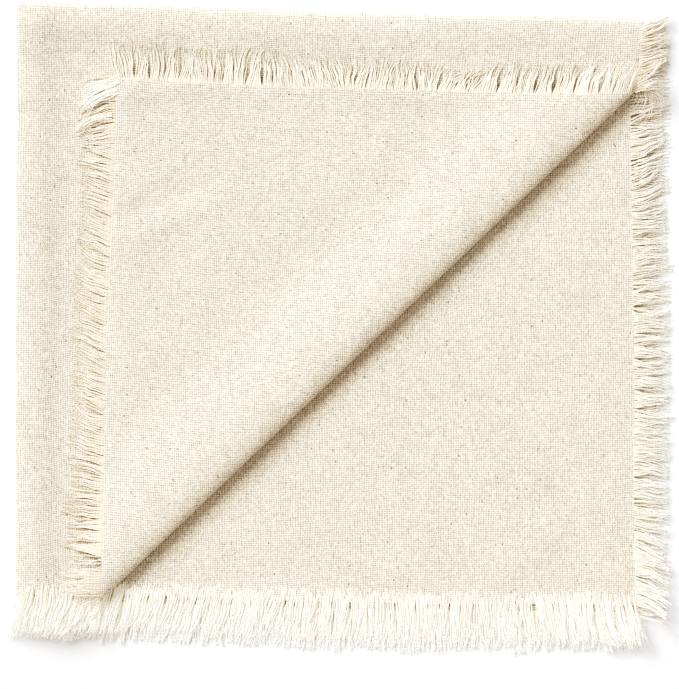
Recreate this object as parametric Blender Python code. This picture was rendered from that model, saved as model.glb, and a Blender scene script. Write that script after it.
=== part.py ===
"""A fringed linen-blend napkin, folded in quarters, its top corner rolled back over the diagonal.

Sizes are in metres. Each piece is laid out flat, scored along the fold lines and then folded as the
real cloth is: the left half over the right, the far half over the near, and last the top sheet's
loose corner back towards the upper left. Seen from above, the two folded sides end up at the left
and the top, and the four open, fringed edges at the right and the bottom.
"""

import math
import random
from collections import namedtuple
from functools import partial

import bmesh
import bpy
import numpy as np

MM = 0.001

# The woven cloth, without its fringe, and the build-up of the folded stack
CLOTH_WIDTH = 491.0 * MM
CLOTH_HEIGHT = 477.0 * MM
THICKNESS = 1.0 * MM
LAYER_PITCH = 1.5 * MM
TOP_LEVEL = 3

# Fold lines on the flat cloth, a little off its middle
FIRST_FOLD_X = -0.6 * MM
SECOND_FOLD_Y = -0.8 * MM
FIRST_TURN = LAYER_PITCH / 2
SECOND_TURN = LAYER_PITCH

# The rolled corner: its outer edge as seen from above, measured from the folded corner at the
# upper left, and the size of its loop, which is oval and slacker in the middle than at its ends
ROLL_START = np.array([29.3, -237.7]) * MM
ROLL_END = np.array([247.8, -29.7]) * MM
ROLL_RISE_LOW_END = 2.4 * MM
ROLL_RISE_MIDDLE = 3.9 * MM
ROLL_RISE_HIGH_END = 2.4 * MM
ROLL_REACH_PER_RISE = 2.1
ROLL_TAPER_LOW = 0.22
ROLL_TAPER_HIGH = 0.12
ROLL_BACK_SLOPE = 38.0 * MM

# How far the sides lie out of square: the drop of a side across the whole width
DROP_AT_TOP = 6.8 * MM
DROP_AT_BOTTOM = 5.0 * MM
SIDE_WAVER = 0.35 * MM
SIDE_WAVE = 27.0 * MM
TOP_WAVER = 0.5 * MM
TOP_WAVE = 33.0 * MM
TOP_WAVE_START = 0.6

# How each layer lies against its flat place: its right side at the top, half way down and at the
# bottom, its left fold, and its lower side to the right of the roll's end
Layer = namedtuple("Layer", "level right_at_top right_bow right_at_bottom left_slide lower_slide")
LAYERS = [
    Layer(0, 0.6 * MM, 0.0 * MM, 1.6 * MM, -2.3 * MM, 0.0 * MM),
    Layer(1, 1.2 * MM, 0.0 * MM, 2.6 * MM, -2.3 * MM, 0.0 * MM),
    Layer(2, 1.8 * MM, 0.0 * MM, 4.0 * MM, 0.0 * MM, 0.0 * MM),
    Layer(3, 2.5 * MM, -2.6 * MM, -4.3 * MM, 0.0 * MM, -1.9 * MM),
]
LEFT_SLIDE_START = 30.0 * MM
LEFT_SLIDE_LENGTH = 60.0 * MM
LOWER_SLIDE_START = 6.0 * MM
LOWER_SLIDE_LENGTH = 22.0 * MM

# The unpressed folds stand proud of the stack: share of the height, and the crest's place and width
Puff = namedtuple("Puff", "share crest width")
LEFT_PUFF = Puff(0.42, 6.5 * MM, 9.0 * MM)
TOP_PUFF = Puff(0.46, 6.0 * MM, 9.5 * MM)
PUFF_CEILING = (TOP_LEVEL + 1) * LAYER_PITCH

# Soft ridges in the stack (share of the height) and in the corner that is folded back (metres)
Ridge = namedtuple("Ridge", "x y heading length width height")
STACK_RIDGES = [
    Ridge(205.0 * MM, -222.0 * MM, 38.0, 46.0 * MM, 11.0 * MM, 0.26),
    Ridge(236.0 * MM, -236.0 * MM, 60.0, 22.0 * MM, 12.0 * MM, 0.22),
    Ridge(150.0 * MM, -226.0 * MM, 20.0, 40.0 * MM, 9.0 * MM, 0.10),
]
FLAP_RIDGES = [
    Ridge(61.0 * MM, -64.0 * MM, 20.0, 34.0 * MM, 8.0 * MM, 2.0 * MM),
    Ridge(56.0 * MM, -86.0 * MM, 24.0, 26.0 * MM, 5.0 * MM, 0.9 * MM),
    Ridge(60.0 * MM, -29.0 * MM, 4.0, 22.0 * MM, 5.0 * MM, 1.1 * MM),
    Ridge(150.0 * MM, -62.0 * MM, 30.0, 60.0 * MM, 14.0 * MM, 0.9 * MM),
    Ridge(72.0 * MM, -140.0 * MM, 70.0, 60.0 * MM, 12.0 * MM, 0.7 * MM),
]
FLAP_REST = 0.3 * MM

# Score lines: distances from the fold lines and across the open cloth
NEAR_FOLD_LINES = [3.0 * MM, 7.0 * MM, 12.0 * MM, 19.0 * MM]
OPEN_CLOTH_LINES = 9
FIRST_BEND_STEPS = 5
SECOND_BEND_STEPS = 6
ROLL_STEPS = 14
ROLL_BACK_STEPS = 5
SCORE_TOLERANCE = 0.2 * MM
UNFOLDING_STEPS = 6

# The fringe: frayed locks on a narrow backing strip just outside the last cross thread. Widths are
# shares of the pitch, and the fringe of the upper layers droops by a share of its height.
FRINGE_GAP = 0.5 * MM
BACKING_WIDTH = 1.8 * MM
LENGTH_SPREAD = 1.1 * MM
ROOT_SHARE = 0.60
BELLY_SHARE = 0.56
TIP_SHARE = 0.20
BELLY_PLACE = 0.5
BELLY_SWAY = 0.35
TIP_THICKNESS = 0.5 * MM
SWAY = 1.3 * MM
SWAY_WAVES = (31.0 * MM, 19.0 * MM)
SPLAY_REACH = 26.0 * MM
FRINGE_DROOP = 0.30
DROOP_LENGTH = 13.0 * MM
END_CLEARANCE = 0.5 * MM
FRINGE_SEED = 20
SHARP_ANGLE = math.radians(50.0)

HALF_WIDTH = CLOTH_WIDTH / 2
HALF_HEIGHT = CLOTH_HEIGHT / 2
HALF_THICK_SHARE = THICKNESS / 2 / LAYER_PITCH
FIRST_BEND_LENGTH = math.pi * FIRST_TURN
SECOND_BEND_LENGTH = math.pi * SECOND_TURN
ROLL_LENGTH = np.linalg.norm(ROLL_END - ROLL_START)
ROLL_ALONG = (ROLL_END - ROLL_START) / ROLL_LENGTH
ROLL_OUT = np.array([ROLL_ALONG[1], -ROLL_ALONG[0]])

# A side of the flat cloth: the way along it, the way out of it, and half the cloth across it
Side = namedtuple("Side", "along out reach")
FAR = Side(np.array([1.0, 0.0]), np.array([0.0, 1.0]), HALF_HEIGHT)
NEAR = Side(np.array([-1.0, 0.0]), np.array([0.0, -1.0]), HALF_HEIGHT)
RIGHT = Side(np.array([0.0, -1.0]), np.array([1.0, 0.0]), HALF_WIDTH)
LEFT = Side(np.array([0.0, 1.0]), np.array([-1.0, 0.0]), HALF_WIDTH)

# Where stretches of fringe end on the flat cloth: beside the bends, and inside the roll
LEFT_OF_FOLD = FIRST_FOLD_X - FIRST_BEND_LENGTH - END_CLEARANCE
RIGHT_OF_FOLD = FIRST_FOLD_X + END_CLEARANCE
BELOW_FOLD = SECOND_FOLD_Y - END_CLEARANCE
ABOVE_FOLD = SECOND_FOLD_Y + SECOND_BEND_LENGTH + END_CLEARANCE
ROLL_ON_FAR_SIDE = 24.0 * MM
ROLL_ON_RIGHT_SIDE = 26.5 * MM

# A stretch of fringe: its node, its side and its ends along that side, the pitch and length of its
# locks, how far its end locks lean along the side, and whether it goes round the roll
Run = namedtuple("Run", "node side start end pitch length lean_start lean_end rolled")
RUNS = [
    Run("fringe_flap_left", FAR, ROLL_ON_FAR_SIDE, HALF_WIDTH,
        6.6 * MM, 13.6 * MM, 0.0 * MM, 4.0 * MM, True),
    Run("fringe_flap_top", RIGHT, -HALF_HEIGHT, -ROLL_ON_RIGHT_SIDE,
        6.6 * MM, 14.0 * MM, -4.5 * MM, 2.0 * MM, True),
    Run("fringe_top_sheet_bottom", FAR, RIGHT_OF_FOLD, ROLL_ON_FAR_SIDE - END_CLEARANCE,
        6.6 * MM, 17.0 * MM, -7.0 * MM, 0.0 * MM, True),
    Run("fringe_top_sheet_right", RIGHT, END_CLEARANCE - ROLL_ON_RIGHT_SIDE, -ABOVE_FOLD,
        6.6 * MM, 12.8 * MM, 0.0 * MM, 3.5 * MM, True),
    Run("fringe_second_bottom", FAR, -HALF_WIDTH, LEFT_OF_FOLD,
        6.6 * MM, 15.6 * MM, -5.0 * MM, 6.5 * MM, False),
    Run("fringe_second_right", LEFT, ABOVE_FOLD, HALF_HEIGHT,
        6.6 * MM, 14.0 * MM, -2.0 * MM, 1.5 * MM, False),
    Run("fringe_third_bottom", NEAR, -LEFT_OF_FOLD, HALF_WIDTH,
        9.5 * MM, 15.4 * MM, -6.0 * MM, 3.5 * MM, False),
    Run("fringe_third_right", LEFT, -HALF_HEIGHT, BELOW_FOLD,
        9.5 * MM, 13.6 * MM, -2.5 * MM, 2.0 * MM, False),
    Run("fringe_base_bottom", NEAR, -HALF_WIDTH, -RIGHT_OF_FOLD,
        9.5 * MM, 15.8 * MM, -5.0 * MM, 6.0 * MM, False),
    Run("fringe_base_right", RIGHT, -BELOW_FOLD, HALF_HEIGHT,
        9.5 * MM, 13.6 * MM, -3.0 * MM, 3.0 * MM, False),
]


def smooth_step(share):
    """Ease from 0 to 1 as share goes from 0 to 1."""
    share = np.clip(share, 0.0, 1.0)
    return share * share * (3.0 - 2.0 * share)


def fold_over(along, up, axis_height, turn):
    """Fold what lies at along > 0 up and back over the rest, round an axis at axis_height.

    The turn is the radius at which the bend keeps its length.
    """
    angle = np.clip(along / turn, 0.0, math.pi)
    radius = axis_height - up
    past = np.maximum(along - math.pi * turn, 0.0)
    bent_along = np.where(along <= 0.0, along, radius * np.sin(angle) - past)
    bent_up = np.where(along <= 0.0, up, axis_height - radius * np.cos(angle))
    return bent_along, bent_up


def fold_in_quarters(points):
    """The left half over the right, then the far half over the near."""
    x, y, z = points.T
    left, z = fold_over(FIRST_FOLD_X - x, z, LAYER_PITCH / 2, FIRST_TURN)
    far, z = fold_over(y - SECOND_FOLD_Y, z, 1.5 * LAYER_PITCH, SECOND_TURN)
    return np.stack([-left, far, z], axis=1)


def layer_value(z, column):
    """A column of LAYERS at this height: the same through a layer's thickness, eased between two."""
    level = np.clip(z / LAYER_PITCH, 0.0, TOP_LEVEL)
    below = np.floor(level)
    level = below + smooth_step((level - below - HALF_THICK_SHARE) / (1.0 - 2.0 * HALF_THICK_SHARE))
    return np.interp(level, [row.level for row in LAYERS], [getattr(row, column) for row in LAYERS])


def lie_out_of_square(points):
    """Shift the layers sideways, as a stack folded by hand lies."""
    x, y, z = points.T
    across = x / HALF_WIDTH
    down = np.clip(-y / HALF_HEIGHT, 0.0, None)
    bow = 4.0 * down * np.clip(1.0 - down, 0.0, None)
    right_side = (
        layer_value(z, "right_at_top") * (1.0 - down)
        + layer_value(z, "right_at_bottom") * down
        + layer_value(z, "right_bow") * bow
        + SIDE_WAVER * np.sin(y / SIDE_WAVE)
    )
    left_slide = layer_value(z, "left_slide") * smooth_step((-y - LEFT_SLIDE_START) / LEFT_SLIDE_LENGTH)
    lower_slide = layer_value(z, "lower_slide") * smooth_step((x - LOWER_SLIDE_START) / LOWER_SLIDE_LENGTH)
    drop = DROP_AT_TOP * (1.0 - down) + DROP_AT_BOTTOM * down
    dip = TOP_WAVER * np.sin(x / TOP_WAVE + TOP_WAVE_START)
    return np.stack([
        x + across * right_side + left_slide,
        y - across * drop + dip + down * lower_slide,
        z,
    ], axis=1)


def roll_rise(place):
    """Half the height of the roll's loop, place being 0 at its lower left end and 1 at the other."""
    low = ROLL_RISE_LOW_END - ROLL_RISE_MIDDLE
    high = ROLL_RISE_HIGH_END - ROLL_RISE_MIDDLE
    return (
        ROLL_RISE_MIDDLE
        + low * (1.0 - smooth_step(place / ROLL_TAPER_LOW))
        + high * smooth_step((place - 1.0 + ROLL_TAPER_HIGH) / ROLL_TAPER_HIGH)
    )


def loop_table():
    """Angles round the half oval of a loop of rise 1, and the lengths along it that they lie at."""
    angles = np.linspace(0.0, math.pi, 181)
    speed = np.hypot(ROLL_REACH_PER_RISE * np.cos(angles), np.sin(angles))
    lengths = np.concatenate([[0.0], np.cumsum((speed[1:] + speed[:-1]) / 2)]) * angles[1]
    return angles, lengths


def roll_corner_back(points):
    """Take the top sheet's loose corner up round the loop and lay it back over the sheet.

    Gives the places, and how far each has come down from the roll, from 0 to 1.
    """
    z = points[:, 2]
    angles, lengths = loop_table()
    from_start = points[:, :2] - ROLL_START
    out = from_start @ ROLL_OUT
    rise = roll_rise(from_start @ ROLL_ALONG / ROLL_LENGTH)
    reach = ROLL_REACH_PER_RISE * rise
    way = out + reach
    angle = np.interp(way / rise, lengths, angles)
    past = np.maximum(way - rise * lengths[-1], 0.0)
    landed = smooth_step(past / ROLL_BACK_SLOPE)
    offset = z - TOP_LEVEL * LAYER_PITCH
    lean = np.hypot(rise * np.sin(angle), reach * np.cos(angle))
    rolled_out = reach * (np.sin(angle) - 1.0) - past - offset * rise * np.sin(angle) / lean
    rolled_up = (
        TOP_LEVEL * LAYER_PITCH
        + rise * (1.0 - np.cos(angle))
        - (2.0 * rise - LAYER_PITCH) * landed
        + offset * reach * np.cos(angle) / lean
    )
    moves = (offset > -LAYER_PITCH / 2) & (way > 0.0)
    shift = np.where(moves, rolled_out - out, 0.0)
    flat = points[:, :2] + shift[:, None] * ROLL_OUT
    places = np.stack([flat[:, 0], flat[:, 1], np.where(moves, rolled_up, z)], axis=1)
    return places, np.where(moves, landed, 0.0)


def ridge_height(ridge, x, y):
    """A soft ridge that fades out along its length and to both sides."""
    heading = math.radians(ridge.heading)
    along = (x - ridge.x) * math.cos(heading) + (y - ridge.y) * math.sin(heading)
    side = (y - ridge.y) * math.cos(heading) - (x - ridge.x) * math.sin(heading)
    return ridge.height * np.exp(-((along / ridge.length) ** 2) - (side / ridge.width) ** 2)


def puff_share(puff, inward):
    """How much higher the stack stands, at a distance in from a folded side."""
    return puff.share * np.exp(-(((inward - puff.crest) / puff.width) ** 2))


def loft(points, landed):
    """Lift the stack where its folds are slack and its sheets ridged. Its underside stays level."""
    x, y, z = points.T
    up = z + THICKNESS / 2
    share = puff_share(LEFT_PUFF, x) + puff_share(TOP_PUFF, -y - x / HALF_WIDTH * DROP_AT_TOP)
    share = share + sum(ridge_height(ridge, x, y) for ridge in STACK_RIDGES)
    beyond = np.maximum(x - HALF_WIDTH, 0.0) + np.maximum(-y - HALF_HEIGHT - DROP_AT_BOTTOM, 0.0)
    share = share - FRINGE_DROOP * smooth_step(beyond / DROOP_LENGTH)
    flap_lift = FLAP_REST + sum(ridge_height(ridge, x, y) for ridge in FLAP_RIDGES)
    return np.stack([x, y, up + share * np.minimum(up, PUFF_CEILING) + landed * flap_lift], axis=1)


def folded(points):
    """Where points of the flat cloth end up in the folded napkin."""
    return loft(*roll_corner_back(lie_out_of_square(fold_in_quarters(points))))


def slab(points, faces):
    """A closed mesh over flat faces. A point is (x, y, its underside, its upper side)."""
    mesh = bmesh.new()
    lower = [mesh.verts.new((x, y, low)) for x, y, low, high in points]
    upper = [mesh.verts.new((x, y, high)) for x, y, low, high in points]
    sides = {(a, b) for face in faces for a, b in zip(face, face[1:] + face[:1], strict=True)}
    for face in faces:
        mesh.faces.new([upper[i] for i in face])
        mesh.faces.new([lower[i] for i in reversed(face)])
    for a, b in sorted(sides):
        if (b, a) not in sides:
            mesh.faces.new([lower[a], lower[b], upper[b], upper[a]])
    return mesh


def score(mesh, place, normal, top_quarter_only=False):
    """Add a line of points across the flat cloth, where it will bend."""
    faces = [
        face
        for face in mesh.faces
        if not top_quarter_only or min(face.calc_center_median().xy) > 0.0
    ]
    around = {item for face in faces for item in (*face.verts, *face.edges)}
    bmesh.ops.bisect_plane(
        mesh,
        geom=[*faces, *around],
        dist=SCORE_TOLERANCE,
        plane_co=(place[0], place[1], 0.0),
        plane_no=(normal[0], normal[1], 0.0),
    )


def open_lines(half, fold, bend):
    """Places of the lines parallel to a fold: close together beside its bend, wide apart beyond."""
    for side, start in ((-1, bend[0]), (1, bend[1])):
        for distance in NEAR_FOLD_LINES:
            yield start + side * distance
        last = abs(start - fold) + NEAR_FOLD_LINES[-1]
        step = (half - last) / OPEN_CLOTH_LINES
        for i in range(1, OPEN_CLOTH_LINES):
            yield fold + side * (last + i * step)


def score_quarter_folds(mesh):
    """The lines of the two straight folds, and the open cloth's."""
    left_bend = (FIRST_FOLD_X - FIRST_BEND_LENGTH, FIRST_FOLD_X)
    far_bend = (SECOND_FOLD_Y, SECOND_FOLD_Y + SECOND_BEND_LENGTH)
    upright = list(np.linspace(*left_bend, FIRST_BEND_STEPS + 1))
    level = list(np.linspace(*far_bend, SECOND_BEND_STEPS + 1))
    upright += open_lines(HALF_WIDTH, FIRST_FOLD_X, left_bend)
    level += open_lines(HALF_HEIGHT, SECOND_FOLD_Y, far_bend)
    for x in upright:
        score(mesh, (x, 0.0), (1.0, 0.0))
    for y in level:
        score(mesh, (0.0, y), (0.0, 1.0))


def on_flat_cloth(place):
    """Where a place on the top sheet lies on the flat cloth, before the corner is rolled back."""
    flat = np.array([place[0], -place[1]])
    for _ in range(UNFOLDING_STEPS):
        laid = lie_out_of_square(fold_in_quarters(np.array([[*flat, 0.0]])))[0]
        flat = flat + (place[0] - laid[0], laid[1] - place[1])
    return flat


def score_roll(mesh):
    """The lines of the roll and of the slope behind it, on the top sheet only."""
    angles, lengths = loop_table()
    bend = np.interp(np.linspace(0.0, math.pi, ROLL_STEPS + 1), angles, lengths) * ROLL_RISE_MIDDLE
    slope = bend[-1] + np.linspace(0.0, ROLL_BACK_SLOPE, ROLL_BACK_STEPS + 1)[1:]
    for way in (*bend, *slope):
        out = (way - ROLL_REACH_PER_RISE * ROLL_RISE_MIDDLE) * ROLL_OUT
        low_end, high_end = on_flat_cloth(ROLL_START + out), on_flat_cloth(ROLL_END + out)
        along = high_end - low_end
        score(mesh, low_end, (along[1], -along[0]), top_quarter_only=True)


def make_folded(name, mesh, fold, material, parent):
    """Fold a scored flat mesh, by the function given, and make it an object."""
    bmesh.ops.triangulate(mesh, faces=mesh.faces[:])
    places = fold(np.array([vert.co for vert in mesh.verts], float))
    for vert, place in zip(mesh.verts, places, strict=True):
        vert.co = place
    data = bpy.data.meshes.new(name)
    mesh.to_mesh(data)
    mesh.free()
    data.shade_smooth()
    data.set_sharp_from_angle(angle=SHARP_ANGLE)
    data.materials.append(material)
    node = bpy.data.objects.new(name, data)
    bpy.context.scene.collection.objects.link(node)
    node.parent = parent
    return node


def make_cloth(material, parent):
    """The whole woven cloth, one sheet in its five layers."""
    low, high = -THICKNESS / 2, THICKNESS / 2
    corners = [(-1, -1), (1, -1), (1, 1), (-1, 1)]
    points = [(i * HALF_WIDTH, j * HALF_HEIGHT, low, high) for i, j in corners]
    mesh = slab(points, [(0, 1, 2, 3)])
    score_quarter_folds(mesh)
    score_roll(mesh)
    return make_folded("cloth", mesh, folded, material, parent)


def lean(run, along):
    """How far a lock's tip leans along the side: slow waves, and more towards the run's ends."""
    waves = sum(SWAY / (i + 1) * math.sin(along / wave + 2.0 * i) for i, wave in enumerate(SWAY_WAVES))
    start = run.lean_start * math.exp((run.start - along) / SPLAY_REACH)
    end = run.lean_end * math.exp((along - run.end) / SPLAY_REACH)
    return waves + start + end


def fringe_outline(run, rng):
    """Points and faces, along and out from the cloth's edge, of a backing strip and its locks."""
    count = round((run.end - run.start) / run.pitch)
    pitch = (run.end - run.start) / count
    root, wide, narrow = (pitch / 2 * share for share in (ROOT_SHARE, BELLY_SHARE, TIP_SHARE))
    backing = FRINGE_GAP + BACKING_WIDTH
    low, high = -THICKNESS / 2, THICKNESS / 2
    thin = low + TIP_THICKNESS
    points = []
    faces = []
    for i in range(count):
        middle = run.start + (i + 0.5) * pitch
        sideways = lean(run, middle)
        length = run.length + rng.uniform(-LENGTH_SPREAD, LENGTH_SPREAD)
        belly_out = backing + BELLY_PLACE * (length - backing)
        belly = middle + BELLY_SWAY * sideways
        tip = middle + sideways
        first = len(points)
        points += [
            (middle - root, FRINGE_GAP, low, high),
            (middle + root, FRINGE_GAP, low, high),
            (middle + root, backing, low, high),
            (middle - root, backing, low, high),
            (belly + wide, belly_out, low, (high + thin) / 2),
            (belly - wide, belly_out, low, (high + thin) / 2),
            (tip + narrow, length, low, thin),
            (tip - narrow, length, low, thin),
        ]
        for face in ((0, 1, 2, 3), (3, 2, 4, 5), (5, 4, 6, 7)):
            faces.append(tuple(first + corner for corner in face))
        if i:
            faces.append((first - 7, first, first + 3, first - 6))
    return points, faces


def folded_fringe(run, points):
    """Fold a run with its layer. Tips that lean past a fold's end stay flat and stick out there."""
    inside = (run.start + run.end) / 2 * run.side.along + run.side.reach * run.side.out
    kept = points.copy()
    right, far = inside[0] > FIRST_FOLD_X, inside[1] > SECOND_FOLD_Y
    kept[:, 0] = np.maximum(points[:, 0], RIGHT_OF_FOLD) if right else np.minimum(points[:, 0], LEFT_OF_FOLD)
    kept[:, 1] = np.maximum(points[:, 1], ABOVE_FOLD) if far else np.minimum(points[:, 1], BELOW_FOLD)
    turned_over = np.array([1.0 if right else -1.0, -1.0 if far else 1.0, 0.0])
    return folded(kept) + (points - kept) * turned_over


def make_fringe(run, material, parent, rng):
    """One stretch of fringe, folded with the cloth."""
    outline, faces = fringe_outline(run, rng)
    points = []
    for along, out, low, high in outline:
        x, y = along * run.side.along + (run.side.reach + out) * run.side.out
        points.append((x, y, low, high))
    mesh = slab(points, faces)
    if run.rolled:
        score_roll(mesh)
    return make_folded(run.node, mesh, partial(folded_fringe, run), material, parent)


def make_material(name, colour, roughness):
    """A matt textile."""
    material = bpy.data.materials.new(name)
    material.use_nodes = True
    shader = material.node_tree.nodes["Principled BSDF"]
    shader.inputs["Base Color"].default_value = (*colour, 1.0)
    shader.inputs["Roughness"].default_value = roughness
    shader.inputs["Metallic"].default_value = 0.0
    return material


def centre_on_base(parent, nodes):
    """Move the whole so that its box stands with the middle of its base on the origin."""
    corners = np.array([vert.co for node in nodes for vert in node.data.vertices])
    low, high = corners.min(axis=0), corners.max(axis=0)
    parent.location = (-(low[0] + high[0]) / 2, -(low[1] + high[1]) / 2, -low[2])


def main():
    for old in list(bpy.data.objects):
        bpy.data.objects.remove(old)
    woven = make_material("linen_cloth", (0.86, 0.79, 0.68), 0.92)
    frayed = make_material("fringe_yarn", (0.90, 0.85, 0.75), 0.95)
    parent = bpy.data.objects.new("folded_corner", None)
    bpy.context.scene.collection.objects.link(parent)
    rng = random.Random(FRINGE_SEED)
    nodes = [make_cloth(woven, parent)]
    nodes += [make_fringe(run, frayed, parent, rng) for run in RUNS]
    centre_on_base(parent, nodes)


main()
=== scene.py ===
"""Looks of a fringed napkin, folded in quarters, its top corner folded back over the diagonal.

The cloth is one closed thin sheet. It is laid out flat, cut into a fine net along its fold lines
and then folded as the real cloth is. Every thread of the fringe is combed on the flat cloth too,
and goes through the same folds. Places in the fold are measured from its upper left corner, with x
to the right and y upwards, so that y is below zero all over the napkin.
"""

import logging
import math
from collections.abc import Sequence
from dataclasses import dataclass, field
from enum import Enum

import bmesh
import bpy
import numpy as np
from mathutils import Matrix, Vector


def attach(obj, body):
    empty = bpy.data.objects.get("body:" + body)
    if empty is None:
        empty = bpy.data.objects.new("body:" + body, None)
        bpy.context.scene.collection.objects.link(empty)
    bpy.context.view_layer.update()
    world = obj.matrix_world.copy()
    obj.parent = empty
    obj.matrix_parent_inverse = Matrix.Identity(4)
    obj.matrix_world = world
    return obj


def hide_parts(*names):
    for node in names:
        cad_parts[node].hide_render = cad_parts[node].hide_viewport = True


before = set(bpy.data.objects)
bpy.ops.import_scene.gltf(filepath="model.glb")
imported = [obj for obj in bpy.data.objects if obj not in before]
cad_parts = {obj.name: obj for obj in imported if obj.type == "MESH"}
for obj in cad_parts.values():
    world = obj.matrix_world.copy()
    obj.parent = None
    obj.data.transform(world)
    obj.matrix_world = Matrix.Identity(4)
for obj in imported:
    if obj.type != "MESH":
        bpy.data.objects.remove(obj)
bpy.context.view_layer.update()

MM = 0.001
BODY = "root"
# Where the folded corner at the upper left stands in the frame
CORNER = np.array([-128.908, 127.791, 0.0]) * MM

log = logging.getLogger("napkin")


def ease(share: np.ndarray) -> np.ndarray:
    """Ease from 0 to 1 as the share goes from 0 to 1."""
    share = np.clip(share, 0.0, 1.0)
    return share * share * (3.0 - 2.0 * share)


# --- The fold -------------------------------------------------------------------------------------


@dataclass(frozen=True)
class QuarterFold:
    """The two straight folds: the left half over the right, then the far half over the near."""

    half_width: float = 245.5 * MM
    half_height: float = 238.5 * MM
    pitch: float = 1.5 * MM
    top_level: int = 3
    first_line: float = -0.6 * MM
    second_line: float = -0.8 * MM
    end_clearance: float = 0.5 * MM

    @property
    def first_bend(self) -> tuple[float, float]:
        """Where the first bend starts and ends across the flat cloth."""
        return self.first_line - math.pi * self.pitch / 2, self.first_line

    @property
    def second_bend(self) -> tuple[float, float]:
        """Where the second bend starts and ends up the flat cloth."""
        return self.second_line, self.second_line + math.pi * self.pitch

    @staticmethod
    def turn_over(
        along: np.ndarray, up: np.ndarray, axis: float, turn: float
    ) -> tuple[np.ndarray, np.ndarray]:
        """Fold what lies at along > 0 up and back over the rest.

        Args:
            along: Distances past the fold line.
            up: Heights.
            axis: Height of the axis of the bend.
            turn: Radius at which the bend keeps its length.

        Returns:
            The distances and heights after the fold.
        """
        angle = np.clip(along / turn, 0.0, math.pi)
        radius = axis - up
        past = np.maximum(along - math.pi * turn, 0.0)
        flat = along <= 0.0
        bent_along = np.where(flat, along, radius * np.sin(angle) - past)
        bent_up = np.where(flat, up, axis - radius * np.cos(angle))
        return bent_along, bent_up

    def fold(self, points: np.ndarray) -> np.ndarray:
        """Fold places of the flat cloth in quarters.

        Args:
            points: Rows of x, y and the height over the middle of the sheet.

        Returns:
            The rows after both folds.
        """
        x, y, z = points.T
        left, z = self.turn_over(self.first_line - x, z, self.pitch / 2, self.pitch / 2)
        far, z = self.turn_over(y - self.second_line, z, 1.5 * self.pitch, self.pitch)
        return np.stack([-left, far, z], axis=1)

    def level(self, z: np.ndarray, thickness: float) -> np.ndarray:
        """Number the layers from the base up: whole through a layer, eased between two.

        Args:
            z: Heights after the quarter folds.
            thickness: Thickness through which the number stays whole.

        Returns:
            The layer numbers.
        """
        level = np.clip(z / self.pitch, 0.0, self.top_level)
        below = np.floor(level)
        half = thickness / 2 / self.pitch
        return below + ease((level - below - half) / (1.0 - 2.0 * half))


@dataclass(frozen=True)
class HandLaid:
    """How the layers lie out of square. A row of four holds one value a layer, from the base up."""

    right_at_top: tuple[float, ...] = (0.6 * MM, 1.2 * MM, 1.8 * MM, 2.5 * MM)
    right_bow: tuple[float, ...] = (0.0, 0.0, 0.0, -2.6 * MM)
    right_at_bottom: tuple[float, ...] = (1.6 * MM, 2.6 * MM, 4.0 * MM, -2.6 * MM)
    left_slide: tuple[float, ...] = (-0.9 * MM, -0.9 * MM, 0.0, 0.0)
    lower_slide: tuple[float, ...] = (0.0, 0.0, 0.0, -3.6 * MM)
    left_slide_span: tuple[float, float] = (30.0 * MM, 60.0 * MM)
    lower_slide_span: tuple[float, float] = (6.0 * MM, 22.0 * MM)
    drop_at_top: float = 6.8 * MM
    drop_at_bottom: float = 5.0 * MM
    side_waver: tuple[float, float] = (0.35 * MM, 27.0 * MM)
    top_waver: tuple[float, float, float] = (0.5 * MM, 33.0 * MM, 0.6)
    whole_layer: float = 1.0 * MM

    def lay(self, fold: QuarterFold, points: np.ndarray) -> np.ndarray:
        """Shift the layers sideways, as a stack folded by hand lies.

        Args:
            fold: The quarter folds that the points have gone through.
            points: Places after the quarter folds.

        Returns:
            The places after the shift.
        """
        x, y, z = points.T
        level = fold.level(z, self.whole_layer)
        layers = range(len(self.right_bow))
        across = x / fold.half_width
        down = np.clip(-y / fold.half_height, 0.0, None)
        right = (
            np.interp(level, layers, self.right_at_top) * (1.0 - down)
            + np.interp(level, layers, self.right_at_bottom) * down
            + np.interp(level, layers, self.right_bow) * 4.0 * down * np.clip(1.0 - down, 0.0, None)
            + self.side_waver[0] * np.sin(y / self.side_waver[1])
        )
        left_start, left_length = self.left_slide_span
        left = np.interp(level, layers, self.left_slide) * ease((-y - left_start) / left_length)
        low_start, low_length = self.lower_slide_span
        low = np.interp(level, layers, self.lower_slide) * ease((x - low_start) / low_length)
        drop = self.drop_at_top * (1.0 - down) + self.drop_at_bottom * down
        height, wave, start = self.top_waver
        dip = height * np.sin(x / wave + start)
        laid_x, laid_y = x + across * right + left, y - across * drop + dip + down * low
        return np.stack([laid_x, laid_y, z], axis=1)


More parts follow.
